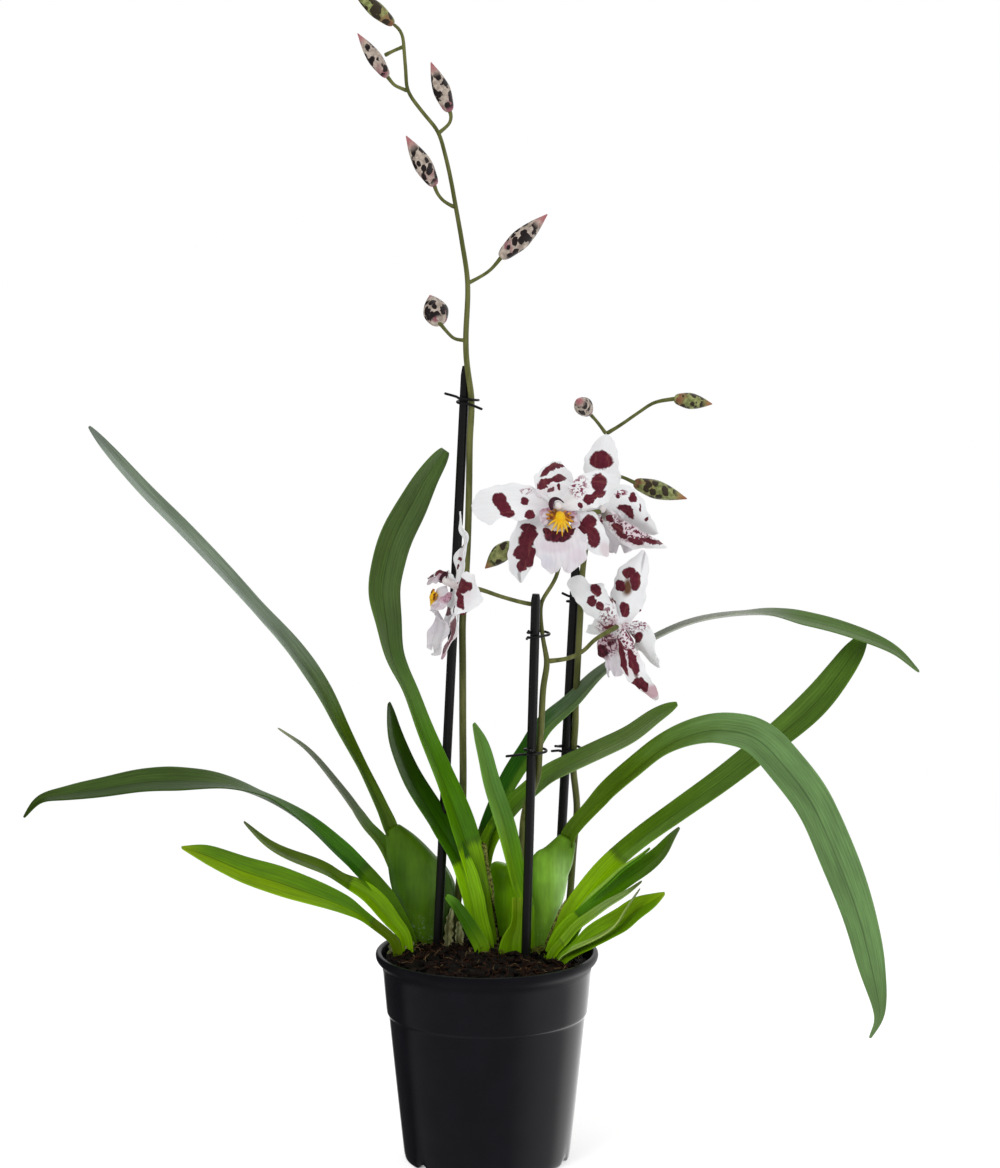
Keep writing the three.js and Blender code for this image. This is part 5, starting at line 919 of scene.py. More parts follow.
def pot_piece():
    inner = BASE_RADIUS - WALL
    profile = [
        (0, 0), (30, 0), (BASE_RADIUS - 2.4, 0), (BASE_RADIUS - 0.8, 0.2), (BASE_RADIUS, 1.5), (45.6, 7),
        (49.3, 42), (53, STEP_HEIGHT - 2.8), (53.15, STEP_HEIGHT - 1.6), (53.5, STEP_HEIGHT - 0.9),
        (54.0, STEP_HEIGHT - 0.6), (54.3, STEP_HEIGHT + 0.2), (54.5, STEP_HEIGHT + 2.5), (55.4, 95),
        (56.2, 105.4), (56.5, 107), (57.4, 108.6), (58.8, 109.9), (59.7, 111.3), (RIM_RADIUS, 112.6),
        (RIM_RADIUS, 113.6), (59.7, 114.5), (59, POT_HEIGHT), (57.6, POT_HEIGHT), (57, 114.6), (56.6, 113.4),
        (55.6, 108), (55, 104), (53.1, STEP_HEIGHT + 0.4), (52.2, STEP_HEIGHT - 2.2), (inner, FLOOR + 1),
        (inner - 1, FLOOR), (0, FLOOR),
    ]
    bm, _ = new_mesh()
    turned(bm, profile, 96)
    for vert in bm.verts:
        angle = math.degrees(math.atan2(vert.co.y, vert.co.x)) % (360 / NOTCHES)
        near = min(abs(angle - NOTCH_ANGLE), 360 / NOTCHES - abs(angle - NOTCH_ANGLE))
        if math.hypot(vert.co.x, vert.co.y) > BASE_RADIUS - 3 and vert.co.z < 2 and near < NOTCH_REACH:
            vert.co.z += NOTCH_RISE * min(1, (NOTCH_REACH - near) / 1.5)
    material, tree, surface = new_material("pot_plastic")
    place = coordinates(tree)
    cloud = speckle(tree, place, 60, 3.0)
    scuffs = speckle(tree, place, 900)
    height = axes(tree, place)[2]
    gloss = smooth_step(tree, cloud, 0.3, 0.7, 0.1, 0.15)
    rim_from, rim_to = 0.104, 0.108
    colour = mix(tree, smooth_step(tree, cloud, 0.3, 0.7), rgb("#0b0b10"), rgb("#0f0f15"))
    feed(tree, surface, Base_Color=colour, Roughness=smooth_step(tree, height, rim_from, rim_to, gloss, 0.42),
         Specular_IOR_Level=smooth_step(tree, height, rim_from, rim_to, 0.26, 0.12))
    bump(tree, surface, scuffs, 0.03, 0.00005)
    piece = finish_piece(bm, "pot_look", [material], ["pot"])


# Growing medium

def heap_height(x, y):
    """Height of the rough heap in the pot."""
    r = math.hypot(x, y) / 54
    rough = math.sin(x * 0.62 + y * 0.21) * math.cos(y * 0.55 - x * 0.17)
    rough += 0.6 * math.sin(x * 1.3 - y * 0.9) * math.sin(y * 1.1 + 2)
    return SOIL_TOP + SOIL_HEAP * (1 - r * r) - SOIL_SLOPE * x + SOIL_RELIEF * rough * (1 - 0.5 * r)


def add_chip(bm, draw):
    """Adds one bark chip that lies on the heap."""
    angle = draw.random() * 2 * math.pi
    r = CHIPS_RADIUS * math.sqrt(draw.random())
    x, y = r * math.cos(angle), r * math.sin(angle)
    size = draw.uniform(2.2, 7.5)
    made = bmesh.ops.create_icosphere(bm, subdivisions=1, radius=1.0)["verts"]
    turn = [draw.uniform(0, 6.3) for _ in range(3)]
    shape = (size * 0.5, size * draw.uniform(0.25, 0.45), size * draw.uniform(0.12, 0.26))
    for vert in made:
        p = Vector(vert.co) * (1 + 0.3 * noise.noise(Vector(vert.co) * 2 + Vector((x, y, 0))))
        p = Vector([part * scale for part, scale in zip(p, shape)])
        p.rotate(Euler((turn[0] * 0.12, turn[1] * 0.12, turn[2])))
        vert.co = p + Vector((x * 0.985, y * 0.985, heap_height(x, y) + size * 0.14))


def soil_piece():
    bm, _ = new_mesh()
    rings = [(SOIL_RADIUS * k / 26, SOIL_TOP) for k in range(27)]
    turned(bm, rings + [(54.1, 100), (51, 78), (45, 10), (43, 3), (0, 3)], 72)
    for vert in bm.verts:
        if vert.co.z > SOIL_TOP - 1:
            x, y = vert.co.x, vert.co.y
            lump = noise.noise(Vector((x * 0.5, y * 0.5, 3))) * 1.6 + noise.noise(Vector((x, y, 9))) * 0.8
            vert.co.z = heap_height(x, y) + lump
    draw = random.Random(11)
    for _ in range(CHIPS):
        add_chip(bm, draw)
    material, tree, surface = new_material("bark_and_peat")
    place = coordinates(tree)
    cloud = speckle(tree, place, 160, 5.0, 0.7)
    grain = speckle(tree, place, 1400, 3.0)
    colour = mix(tree, smooth_step(tree, cloud, 0.45, 0.62), rgb("#0b0706"), rgb("#1e130e"))
    colour = mix(tree, smooth_step(tree, cloud, 0.6, 0.7, 0, 0.45), colour, rgb("#4a2f20"))
    feed(tree, surface, Base_Color=colour, Roughness=0.85, Specular_IOR_Level=0.25)
    bump(tree, surface, calc(tree, "ADD", cloud, calc(tree, "MULTIPLY", grain, 0.5)), 0.6, 0.0008)
    piece = finish_piece(bm, "growing_medium_look", [material], ["growing_medium"], levels=0)


# Dry remains round the foot: the middle line and half width of each old sheath
DRY_SHEATHS = [
    ([(-21, 12, 106), (-21, 12, 115), (-20.5, 12.5, 126), (-18.5, 13, 136)], 3.0),
    ([(-16, 11, 106), (-14.8, 11, 119), (-15.6, 11.5, 128)], 3.2),
    ([(-53, 4, 106), (-52, 4, 114), (-49.6, 3, 121), (-46, 4, 128)], 1.6),
    ([(-44, 2, 106), (-44, 2, 113), (-47, 1, 120), (-50.5, 1, 124)], 1.2),
    ([(-40, 5, 106), (-40, 5, 114), (-42, 5, 121), (-45, 6, 128)], 1.4),
]
# Leaves whose sheath has a dry edge: which edge, and from where to where along the leaf
DRY_EDGES = {"leaf_06": ("right", 0.06, 0.245), "leaf_12": ("left", 0.05, 0.17)}


def edge_point(spec, edge, u):
    """Place on the edge of a leaf."""
    centre, _, side, face = frame_at(Route(spec["points"]), spec["facing"], u)
    width = keyed(spec[edge], u)
    angle = math.radians(ramp(spec["fold"], u))
    out = width if edge == "right" else -width
    return tuple(centre + side * out * math.cos(angle) + face * 0.5 * width * math.sin(angle))


def dry_piece():
    """Old sheaths and the ragged edges of two leaf sheaths."""
    bm, layers = new_mesh()
    for points, half in DRY_SHEATHS:
        spec = blade(points, half=[(0, half), (0.7, 0.8 * half), (1, 0.25 * half)], facing=(0.2, -0.95, 0.2))
        add_blade(bm, layers, spec, 6, 14, fold=((0, 30), (1, 30)), frill=0.8)

    def ragged(angle, u):
        return 1 + 0.7 * noise.noise(Vector((u * 60, angle, 1)))

    for name, (edge, start, end) in DRY_EDGES.items():
        points = [edge_point(LEAVES[name], edge, start + (end - start) * k / 8) for k in range(9)]
        add_tube(bm, layers, points, [(0, 0.45), (0.5, 0.5), (1, 0.25)], 8, 70, lobes=ragged, index=1)
    skins = [plain_material("dry_sheath_skin", "#6e6c40", "#b4b888", 600, 0.6, 0.2, stretch=(1, 1, 0.35)),
             plain_material("dry_edge_skin", "#4a3a1c", "#a6b058", 900, 0.6, 0.2)]
    finish_piece(bm, "dry_sheaths_look", skins, [], levels=0, solid=DRY_THICKNESS)


def fibres_piece():
    """Loose fibres on the growing medium, with a tuft of moss by the front stake."""
    bm, layers = new_mesh()
    draw = random.Random(23)
    for k in range(FIBRES):
        moss = k < MOSS_FIBRES
        angle, reach = draw.uniform(0, 2 * math.pi), draw.random()
        r = 5 * reach if moss else 51 * math.sqrt(reach)
        x, y = r * math.cos(angle) + MOSS[0] * moss, r * math.sin(angle) + MOSS[1] * moss
        turn, long = draw.uniform(0, 2 * math.pi), draw.uniform(3, 6 if moss else 10)
        points = []
        for share in (-0.5, -0.15, 0.2, 0.5):
            px = x + long * share * math.cos(turn) + draw.uniform(-1.1, 1.1)
            py = y + long * share * math.sin(turn) + draw.uniform(-1.1, 1.1)
            inside = min(1.0, 52.5 / math.hypot(px, py))
            px, py = px * inside, py * inside
            points.append((px, py, heap_height(px, py) + draw.uniform(0.8, 4.0 if moss else 3.2)))
        index = 2 if moss else int(draw.random() < 0.22)
        add_tube(bm, layers, points, [(0, 0.12), (0.5, 0.2), (1, 0.07)], 4, 7, facing=(0, 0, 1), index=index)
    skins = [plain_material(name, colour, other, 900, 0.7, 0.2) for name, colour, other in (
        ("fibre_brown", "#26140c", "#4a2c1c"), ("fibre_straw", "#54402a", "#86704c"),
        ("moss", "#5e661c", "#868a3a"))]
    finish_piece(bm, "fibres_look", skins, [], levels=0)


# Stakes

def stake_pieces():
    material = plain_material("stake_plastic", "#090909", "#0f0e10", 300, 0.36, stretch=(1, 1, 0.05))
    for name, (foot, head) in STAKES.items():
        bm, layers = new_mesh()
        long = math.dist(foot, head)
        radius = [(0, STAKE_RADIUS), (1 - 0.7 / long, STAKE_RADIUS), (1 - 0.2 / long, STAKE_RADIUS - 0.25),
                  (1, STAKE_RADIUS - 0.6)]
        add_tube(bm, layers, [foot, head], radius, 24, 80)
        finish_piece(bm, name + "_look", [material], [name], levels=0)


# Pseudobulbs: the colours that each shows at its left, middle, right and top, and its bloom. Where the left
# is darker and the right paler, that is painted shade and painted light across the bulb.
BULB_LOOKS = {
    "pseudobulb_left": ("#36540f", "#4a6a22", "#7c9c5c", "#45621e", "#9fb3aa"),
    "pseudobulb_right": ("#4c7c12", "#7fae3c", "#a6d07c", "#567a26", "#c0dca6"),
    # pseudobulb_centre: colours raised well above its own green. This is painted light against the shade it
    # sits in.
    "pseudobulb_centre": ("#7cb01c", "#88bc24", "#88bc24", "#72a018", "#9cc060"),
    "pseudobulb_rear_left": ("#3c600e", "#466c14", "#4c7418", "#466c14", "#7f9860"),
}


def bulb_material(name, centre, reach):
    """Skin of one bulb, with its middle at centre and its sides within reach of it, in metres."""
    left, middle, right, top, bloom = [shown(code) for code in BULB_LOOKS[name]]
    material, tree, surface = new_material(name + "_skin")
    place = coordinates(tree)
    across = axes(tree, place)[0]
    along = axes(tree, uv(tree, "share"))[1]
    streak = speckle(tree, vector(tree, "MULTIPLY", place, (1, 1, 0.1)), 500, 4.0, 0.6)
    cloud = speckle(tree, place, 70)
    dots = speckle(tree, place, 800, 3.0, 0.7)
    # Across the bulb from left to right: painted shade on the darker left, painted light on the paler right.
    colour = mix(tree, smooth_step(tree, across, centre - reach, centre), left, middle)
    colour = mix(tree, smooth_step(tree, across, centre + 0.1 * reach, centre + reach), colour, right)
    colour = mix(tree, smooth_step(tree, along, 0.7, 0.95), colour, top)
    shade = calc(tree, "MULTIPLY", smooth_step(tree, streak, 0.3, 0.7, 0.88, 1.12),
                 smooth_step(tree, cloud, 0.3, 0.7, 0.86, 1.14))
    speckled = calc(tree, "MULTIPLY", smooth_step(tree, dots, 0.56, 0.66),
                    smooth_step(tree, cloud, 0.5, 0.62))
    low = smooth_step(tree, along, 0.3, 0.6, 0.5, 0.0)
    colour = mix(tree, calc(tree, "MULTIPLY", speckled, low), scaled(tree, colour, shade), bloom)
    feed(tree, surface, Base_Color=colour, Roughness=0.38, Specular_IOR_Level=0.25)
    translucent(tree, surface, 0.06, (0.4, 1.0, 0.2), 0.001)
    bump(tree, surface, calc(tree, "ADD", streak, calc(tree, "MULTIPLY", dots, 0.3)), 0.12, 0.0003)
    return material


def bulb_pieces():
    def ridges(angle, u):
        return 1 + 0.015 * math.cos(angle * 7 + 2 * u) * math.sin(math.pi * u)

    for name, spec in BULBS.items():
        bm, layers = new_mesh()
        points, radius = spec["points"], spec["radius"]
        add_tube(bm, layers, points, radius, 40, 40, flat=0.55, lobes=ridges)
        material = bulb_material(name, points[len(points) // 2][0] * MM, max(r for _, r in radius) * MM)
        finish_piece(bm, name + "_look", [material], [name])


# Leaves: the colours that each shows, then its joint and where its upper and tip colours start. These colours
# carry painted light: the greyish upper colours are a painted sheen over the green, and the two halves of a
# blade differ partly by painted light on either side of its fold.
LEAF_LOOKS = {
    "leaf_01": ("#49612a", "#43591f", "#8b978a", "#74826f", "#6e786d", "#49612a", 0, 0.36, 0.88),
    "leaf_02": ("#2c5004", "#345a06", "#34491f", "#42562c", "#36461f", "#46660a", 0.25, 0.45, 0.88),
    "leaf_03": ("#4f6c16", "#466818", "#6d7462", "#5c654f", "#8a926f", "#4f6c16", 0, 0.55, 0.88),
    "leaf_04": ("#4a6806", "#4b6410", "#5a6d33", "#52662a", "#515e38", "#64880c", 0.49, 0.6, 0.9),
    "leaf_05": ("#5a7c06", "#466a04", "#74940c", "#547804", "#80991c", "#4a5e12", 0.26, 0.5, 0.9),
    "leaf_06": ("#4c7410", "#46700e", "#4b6132", "#4e6338", "#56703a", "#6f981c", 0.25, 0.52, 0.9),
    "leaf_07": ("#345403", "#305000", "#40542f", "#30451a", "#38462b", "#6e981e", 0.41, 0.66, 0.9),
    "leaf_08": ("#648c1c", "#507810", "#62893c", "#58803a", "#5d7f3d", "#5c8208", 0.28, 0.58, 0.9),
    "leaf_09": ("#294c02", "#456723", "#7d8374", "#868b7c", "#56703c", "#5f7d12", 0.2, 0.48, 0.7),
    "leaf_10": ("#4b6e20", "#4b6628", "#566c38", "#667b4b", "#54732e", "#5b7d10", 0.4, 0.6, 0.9),
    "leaf_11": ("#465f18", "#4d6624", "#658452", "#5f7d4c", "#5c7648", "#465f18", 0, 0.33, 0.85),
    "leaf_12": ("#4f6e14", "#5f8032", "#53702f", "#506d2c", "#4c6b27", "#74991a", 0.3, 0.5, 0.9),
    "leaf_13": ("#3f6500", "#406306", "#456410", "#4f6630", "#5a6a45", "#648a0c", 0.36, 0.75, 0.9),
    "leaf_14": ("#64880c", "#5f8a10", "#84ac42", "#44700a", "#547a28", "#64880c", 0, 0.45, 0.9),
    "leaf_15": ("#608608", "#58790c", "#6c900c", "#5a8004", "#7c9424", "#608608", 0, 0.5, 0.9),
    "leaf_16": ("#7c9648", "#7c9648", "#7a8e4a", "#7a8e4a", "#6a7258", "#7c9648", 0, 0.5, 0.85),
    "leaf_17": ("#58790a", "#58790a", "#3f680c", "#3f680c", "#5a8a2a", "#58790a", 0, 0.5, 0.85),
    "leaf_18": ("#6d9028", "#6d9028", "#789250", "#789250", "#5a6838", "#5f8204", 0.32, 0.6, 0.85),
    "sheath_front": ("#5a8008", "#5a8008", "#6c9014", "#6c9014", "#7c9c24", "#5a8008", 0, 0.5, 0.8),
}


def leaf_pieces():
    for index, (name, spec) in enumerate(LEAVES.items()):
        bm, layers = new_mesh()
        long = Route(spec["points"]).length
        add_blade(bm, layers, spec, 10, max(16, int(long / 4.5)))
        wide = 2 * max(value for _, value in spec["left"])
        material = leaf_material(name, LEAF_LOOKS[name], long, wide, index * 3.7)
        piece = finish_piece(bm, name + "_look", [material], [name], solid=LEAF_THICKNESS)


# Spikes, with pedicels that run on into their buds and blooms
PEDICEL_RADIUS = ((0, 1.3), (0.12, 1.05), (0.6, 0.95), (1, 1.25))
PEDICEL_THICK = {"spike_middle": 1.22}


def spike_pieces():
    material = plain_material("stem_skin", "#53582a", "#717440", 260, 0.42, 0.25, stretch=(1, 1, 0.15))
    for name, spec in SPIKES.items():
        bm, layers = new_mesh()
        add_tube(bm, layers, spec["stem"], spec["radius"], 14, int(Route(spec["stem"]).length / 4))
        radius = [(u, r * PEDICEL_THICK.get(name, 1.0)) for u, r in PEDICEL_RADIUS]
        for points in spec["pedicels"]:
            steps = max(8, int(Route(points).length / 2.5))
            end = Vector(points[-1])
            reach = (end - Vector(points[-2])).normalized() * PEDICEL_REACH
            add_tube(bm, layers, points[:-1] + [tuple(end + reach)], radius, 12, steps, facing=(0.3, -1, 0.2))
        finish_piece(bm, name + "_look", [material], [name])


# Buds: their ground, shadow, tip, stained foot and spots
GREEN_BUDS = ("bud_01", "bud_07", "bud_09", "bud_10")
GREEN_BUD = ("#a3a96c", "#757c48", "#a86a48", "#8a4a3a", "#3a3122")
CREAM_BUD = ("#cfc0b2", "#a29488", "#b4626c", "#98405c", "#231a1b")
# How far a bud runs back over its pedicel, as a share of its length
BUD_REACH = 0.035
BUD_RADIUS = ((0, 0.3), (0.03, 0.5), (0.12, 0.72), (0.4, 1), (0.62, 0.82), (0.8, 0.5), (0.93, 0.2), (1, 0.05))


def bud_material(name):
    """Grey-cream or yellow-green bud skin with round dark spots, a warm tip and a stained foot."""
    codes = GREEN_BUD if name in GREEN_BUDS else CREAM_BUD
    ground, shadow, tip, stain, spot = [rgb(code) for code in codes]
    material, tree, surface = new_material(name + "_skin")
    place = coordinates(tree)
    along = axes(tree, uv(tree, "share"))[1]
    cloud = speckle(tree, place, 420, 3.0, 0.6)
    push = scaled(tree, texture(tree, place, 380)["Color"], 0.0022)
    drift = vector(tree, "ADD", vector(tree, "MULTIPLY", place, (1, 1, 0.7)), push)
    cells = add(tree, "ShaderNodeTexVoronoi", {"Vector": drift, "Scale": 285.0, "Randomness": 0.9})
    spots = smooth_step(tree, cells.outputs["Distance"], 0.48, 0.56, 1.0, 0.0)
    colour = mix(tree, smooth_step(tree, cloud, 0.35, 0.65), ground, shadow)
    stained = calc(tree, "MULTIPLY", smooth_step(tree, along, 0.1, 0.42, 1.0, 0.0),
                   smooth_step(tree, speckle(tree, place, 150), 0.44, 0.56))
    colour = mix(tree, calc(tree, "MULTIPLY", stained, 0.8), colour, stain)
    tipped = smooth_step(tree, along, 0.72, 0.94)
    colour = mix(tree, calc(tree, "MULTIPLY", tipped, 0.85), colour, tip)
    fade = calc(tree, "MULTIPLY", smooth_step(tree, along, 0.7, 0.84, 1.0, 0.0),
                smooth_step(tree, along, 0.03, 0.12))
    colour = mix(tree, calc(tree, "MULTIPLY", spots, fade), colour, spot)
    feed(tree, surface, Base_Color=colour, Roughness=0.48, Specular_IOR_Level=0.3)
    translucent(tree, surface, 0.08, (1, 0.8, 0.6), 0.001)
    bump(tree, surface, cloud, 0.15, 0.0003)
    return material


def bud_pieces():
    def lobes(angle, u):
        return 1 + 0.045 * math.cos(3 * angle + 1) * math.sin(math.pi * u)

    for name, (foot, tip, plump) in BUDS.items():
        bm, layers = new_mesh()
        foot = [a - (b - a) * BUD_REACH for a, b in zip(foot, tip)]
        middle = [(a + b) / 2 for a, b in zip(foot, tip)]
        radius = [(u, r * plump) for u, r in BUD_RADIUS]
        add_tube(bm, layers, [foot, middle, tip], radius, 24, 30, flat=0.94, lobes=lobes)
        finish_piece(bm, name + "_look", [bud_material(name)], [name])


# Ties: stake, spike, height, start in degrees, turns and length of the two ends
TIES = {
    "tie_left": ("stake_left", "spike_left", 412, -110, -1.2, 7),
    "tie_front_upper": ("stake_front", "spike_middle", 289, 150, 1.2, 2),
    "tie_front_lower": ("stake_front", "spike_middle", 226, 185, 1.2, 10),
    "tie_rear_upper": ("stake_rear", "spike_rear", 299, 60, 1.2, 4),
    "tie_rear_lower": ("stake_rear", "spike_rear", 218, 150, 1.2, 7),
}


def tie_points(stake, stem, z, start, turns, tail):
    """Wire wound round a stake and its spike, with two short ends that stand out."""
    foot, head = STAKES[stake]
    t = (z - foot[2]) / (head[2] - foot[2])
    sx, sy = [foot[k] + (head[k] - foot[k]) * t for k in (0, 1)]
    route = Route(SPIKES[stem]["stem"])
    best = min((k / 400 for k in range(401)), key=lambda u: abs(route.at(u).z - z))
    point = route.at(best)
    heading = math.atan2(point.y - sy, point.x - sx)
    reach = max(STAKE_RADIUS, keyed(SPIKES[stem]["radius"], best)) + TIE_WIRE + TIE_CLEAR
    points = []
    for i in range(TIE_STEPS + 1):
        angle = math.radians(start) + (i / TIE_STEPS) * turns * math.pi * 2
        px, py = (point.x, point.y) if math.cos(angle - heading) > 0 else (sx, sy)
        rise = (i / TIE_STEPS - 0.5) * TIE_PITCH
        points.append([px + reach * math.cos(angle), py + reach * math.sin(angle), z + rise])

    def end(a, b, rise):
        step = [p + (p - q) * 0.6 for p, q in zip(a, b)]
        out = (step[0] - sx, step[1] - sy)
        scale = tail / math.hypot(*out)
        return [step[0] + out[0] * scale, step[1] + out[1] * scale, step[2] + rise]

    return [end(points[0], points[1], -1.5)] + points + [end(points[-1], points[-2], 1.5)]


def tie_pieces():
    material = plain_material("tie_wire", "#08080a", "#0f0f11", 500, 0.38)
    for name, tie in TIES.items():
        bm, layers = new_mesh()
        add_tube(bm, layers, tie_points(*tie), [(0, TIE_WIRE), (1, TIE_WIRE)], 10, 60, facing=(0, 0, 1))
        finish_piece(bm, name + "_look", [material], [name])


# Flowers: a blade that BLOTCHES leaves out is plain
PLAIN = ((), ())
CREST_SIZE = {"flower_left": 0.62}


def tepals_piece(name, flower, marks, index):
    bm, layers = new_mesh()
    materials = []
    for k, tepal in enumerate(flower["tepals"]):
        spec = dict(tepal, facing=tepal.get("facing", flower["facing"]))
        add_blade(bm, layers, spec, 14, 30, ruffle=1.4, frill=0.5, index=k)
        spots, tints = marks.get(k, PLAIN)
        materials.append(petal_material(f"{name}_tepal_{k}", "#fcfcfe", spots, index * 31 + k * 7.3, tints))
    piece = finish_piece(bm, name + "_tepals_look", materials, [name + "_tepals"], solid=TEPAL_THICKNESS)


def notch(v, u, tangent, face):
    """Folds a lip along its length and draws in the middle of its end."""
    pull = LIP_NOTCH * math.exp(-(v / 0.25) ** 2) * max(0, (u - 0.7) / 0.3) ** 2
    return face * LIP_FOLD * math.sin(v * 7 + 1) * u * u - tangent * pull


def lip_piece(name, flower, marks, index):
    """Waisted lip with a notched end, and its two side lobes."""
    bm, layers = new_mesh()
    lip = dict(flower["lip"], facing=flower["facing"])
    add_blade(bm, layers, lip, 24, 34, fold=((0, 6), (1, -4)), ruffle=2.8, frill=0.9, shape=notch)
    centre, tangent, side, face = frame_at(Route(lip["points"]), lip["facing"], 0.04)
    for turn in (-1, 1):
        points = [tuple(centre + side * turn * across + face * out + tangent * down)
                  for across, out, down in ((2.5, 1.2, -3), (6.6, 2.6, -0.5), (8.4, 2.2, 4), (7.6, 0.6, 9))]
        lobe = blade(points, half=[(0, 1.2), (0.3, 2.6), (0.6, 3.2), (0.85, 2.3), (1, 0.6)],
                     facing=tuple(face + side * turn * 0.35))
        add_blade(bm, layers, lobe, 10, 16, fold=((0, -20), (1, -10)), ruffle=1.1, frill=0.4, index=1)
    spots, tints = marks.get("lip", PLAIN)
    skins = [petal_material(name + "_lip", "#ebe6eb", spots, index * 17 + 3, tints, veined=0.2,
                            maroon="#3a1020"),
             petal_material(name + "_side_lobes", "#e0d3da", (), index * 17 + 9,
                            ((0.5, 4, 4.5, 3, 60, 0.8, "#b98398"), (-1.5, 3, 4, 3, 60, 0.7, "#6a2440", 1),
                             (1.5, 11, 5, 3, 90, 0.35, "#9a5874", 1)), veined=0.4)]
    piece = finish_piece(bm, name + "_lip_look", skins, [name + "_lip"], solid=TEPAL_THICKNESS)


def column_piece(name, flower):
    """White column under a dark hood edge."""
    bm, layers = new_mesh()
    thick = [(0, 1.6), (0.3, 1.9), (0.7, 2.1), (0.9, 2.2), (1, 1.3)]
    add_tube(bm, layers, flower["column"], thick, 20, 20, facing=(0, 0, 1))
    centre, tangent, side, face = frame_at(Route(flower["column"]), (0, 0, 1), 0.9)
    hood = [(3.2, -3.0), (3.7, 0.4), (2.4, 2.9), (-0.4, 3.0), (-3.0, 1.0)]
    points = [tuple(centre + side * across + face * up + tangent * 0.8) for across, up in hood]
    add_tube(bm, layers, points, [(0, 0.9), (0.3, 1.6), (0.55, 1.2), (0.75, 0.6), (1, 0.3)], 10, 24,
             facing=tuple(tangent), index=1)
    skins = [plain_material(name + "_column_skin", "#f3efee", "#e2d6d4", 300, 0.45),
             plain_material(name + "_hood_skin", "#4a1a2c", "#35121f", 300, 0.45)]
    finish_piece(bm, name + "_column_look", skins, [])


# Crest: where each ray and each bar ends, across the lip and then along it
RAYS = ((-1.2, 10.6), (1.8, 9.6), (4.6, 8.0), (6.6, 4.4), (-4.2, 7.4), (-6.2, 4.6), (0.4, 6.6), (3.2, 5.4),
        (-2.8, 6.0))
BARS = ((7.6, 0.4), (7.8, -2.6), (6.4, -5.2), (3.4, -6.6), (-2.8, -6.8), (-5.8, -5.6), (-7.6, -3.0),
        (-7.4, 0.2))


def crest_piece(name, flower, materials):
    """Yellow crest of the lip: a rounded core, rays down the lip and marked bars up round the column."""
    bm, layers = new_mesh()
    size = CREST_SIZE.get(name, 1.0)
    centre, tangent, side, face = frame_at(Route(flower["lip"]["points"]), flower["facing"], 0.2)

    def ray(track, radius, steps, index):
        points = [tuple(centre + (side * a + face * (out + 1.2) + tangent * down) * size)
                  for a, out, down in track]
        radius = [(u, r * size) for u, r in radius]
        add_tube(bm, layers, points, radius, 8, steps, facing=tuple(side + face * 0.4), index=index)

    ray([(0, 0.2, -5), (0.2, 2.4, -1), (0, 1.8, 3.6)], [(0, 1.6), (0.25, 2.9), (0.7, 3.0), (1, 1.4)], 16, 0)
    thin = [(0, 0.95), (0.5, 0.7), (1, 0.14)]
    for across, down in RAYS:
        ray([(across * 0.2, 2.4, 0.4), (across * 0.6, 2.4, down * 0.5), (across, 1.0, down)], thin, 12, 1)
    thick = [(0, 1.1), (0.6, 0.95), (1, 0.45)]
    for k, (across, up) in enumerate(BARS):
        track = [(across * 0.25, 1.8, -1), (across * 0.6, 2.6, up * 0.55), (across, 1.8, up)]
        ray(track, thick, 12, 2 + k % 2)
    finish_piece(bm, name + "_crest_look", materials, [])


def flower_pieces():
    crest_skins = [plain_material(name, colour, other, scale, 0.42) for name, colour, other, scale in (
        ("crest_core", "#f4b400", "#f8cc14", 420), ("crest_ray", "#eeb40c", "#f4cc3a", 420),
        ("crest_bar", "#5a1e14", "#d8860c", 520), ("crest_light_bar", "#8a4210", "#eeaa18", 520))]
    for index, (name, flower) in enumerate(FLOWERS.items()):
        tepals_piece(name, flower, BLOTCHES[name], index)
        lip_piece(name, flower, BLOTCHES[name], index)
        column_piece(name, flower)
        crest_piece(name, flower, crest_skins)


# Floor, light and camera

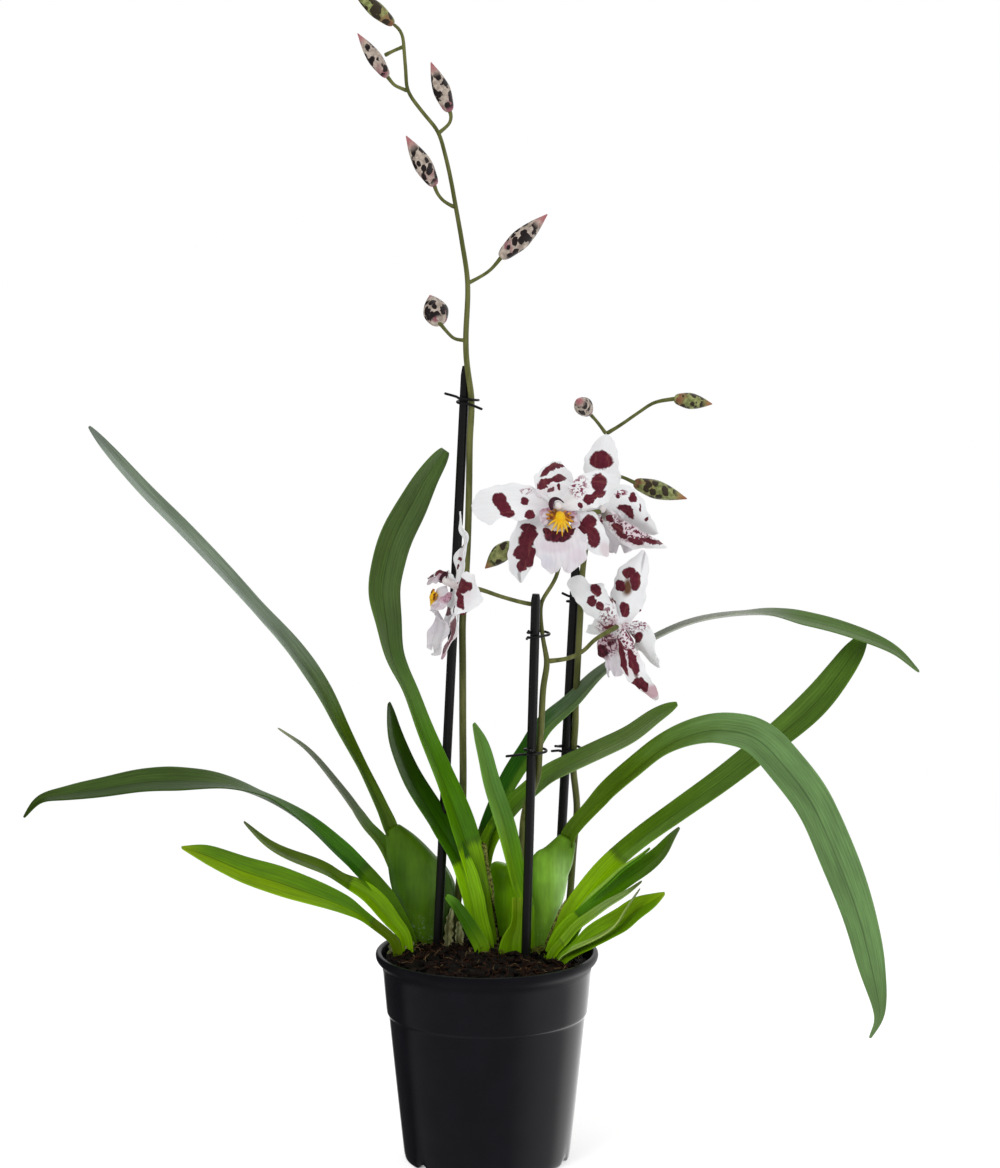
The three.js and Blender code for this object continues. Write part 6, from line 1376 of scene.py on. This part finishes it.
def floor_disc():
    """White floor that fades out to its edge."""
    bm = bmesh.new()
    bmesh.ops.create_circle(bm, cap_ends=True, segments=64, radius=FLOOR_RADIUS)
    mesh = bpy.data.meshes.new("floor")
    bm.to_mesh(mesh)
    bm.free()
    floor = placed("floor", mesh)
    material, tree, surface = new_material("floor_white")
    fade = smooth_step(tree, length(tree, coordinates(tree)), 0.2, FLOOR_RADIUS, 1.0, 0.0)
    feed(tree, surface, Base_Color=rgb("#fafafa"), Roughness=0.9, Alpha=fade,
         Emission_Color=rgb("#ffffff"), Emission_Strength=0.55)
    mesh.materials.append(material)
    floor.visible_glossy = False


def surroundings():
    """White world. Glossy skins mirror a room with one bright side before them and one behind."""
    world = bpy.data.worlds.new("studio")
    bpy.context.scene.world = world
    world.use_nodes = True
    tree = world.node_tree
    ray = add(tree, "ShaderNodeLightPath").outputs
    x, y, _ = axes(tree, coordinates(tree, "Generated"))
    before = smooth_step(tree, x, 0.35, 0.95, 0.32, 0.9)
    behind = smooth_step(tree, x, -0.32, -0.12, 0.05, 1.4)
    mirrored = smooth_step(tree, y, 0.1, 0.45, before, behind)
    lit = smooth_step(tree, ray["Is Glossy Ray"], 0, 1, WORLD_LIGHT, mirrored)
    ground = tree.nodes["Background"]
    ground.inputs[0].default_value = (1, 1, 1, 1)
    tree.links.new(smooth_step(tree, ray["Is Camera Ray"], 0, 1, lit, 1.0), ground.inputs[1])


def aimed(thing, place, aim):
    thing.location = place
    thing.rotation_euler = (Vector(aim) - Vector(place)).to_track_quat("-Z", "Y").to_euler()


def lamp(name, place, size, power):
    light = bpy.data.lights.new(name, "AREA")
    light.shape = "RECTANGLE"
    light.size, light.size_y = size
    light.energy = power
    source = placed(name, light)
    source.visible_glossy = False
    aimed(source, place, (0, 0, 0.3))


def studio():
    floor_disc()
    surroundings()
    lamp("key", (-0.9, -1.3, 1.7), (1.0, 1.0), 14)
    lamp("fill", (1.3, -0.9, 0.9), (0.8, 1.2), 6)
    camera = bpy.data.cameras.new("camera")
    camera.lens = LENS
    camera.sensor_width = 36
    camera.clip_end = 50
    eye = placed("camera", camera)
    aimed(eye, EYE, AIM)
    bpy.context.scene.camera = eye
    bpy.context.scene.view_settings.view_transform = "Standard"


pot_piece()
soil_piece()
fibres_piece()
dry_piece()
stake_pieces()
bulb_pieces()
leaf_pieces()
spike_pieces()
bud_pieces()
tie_pieces()
flower_pieces()
studio()

bpy.context.view_layer.update()
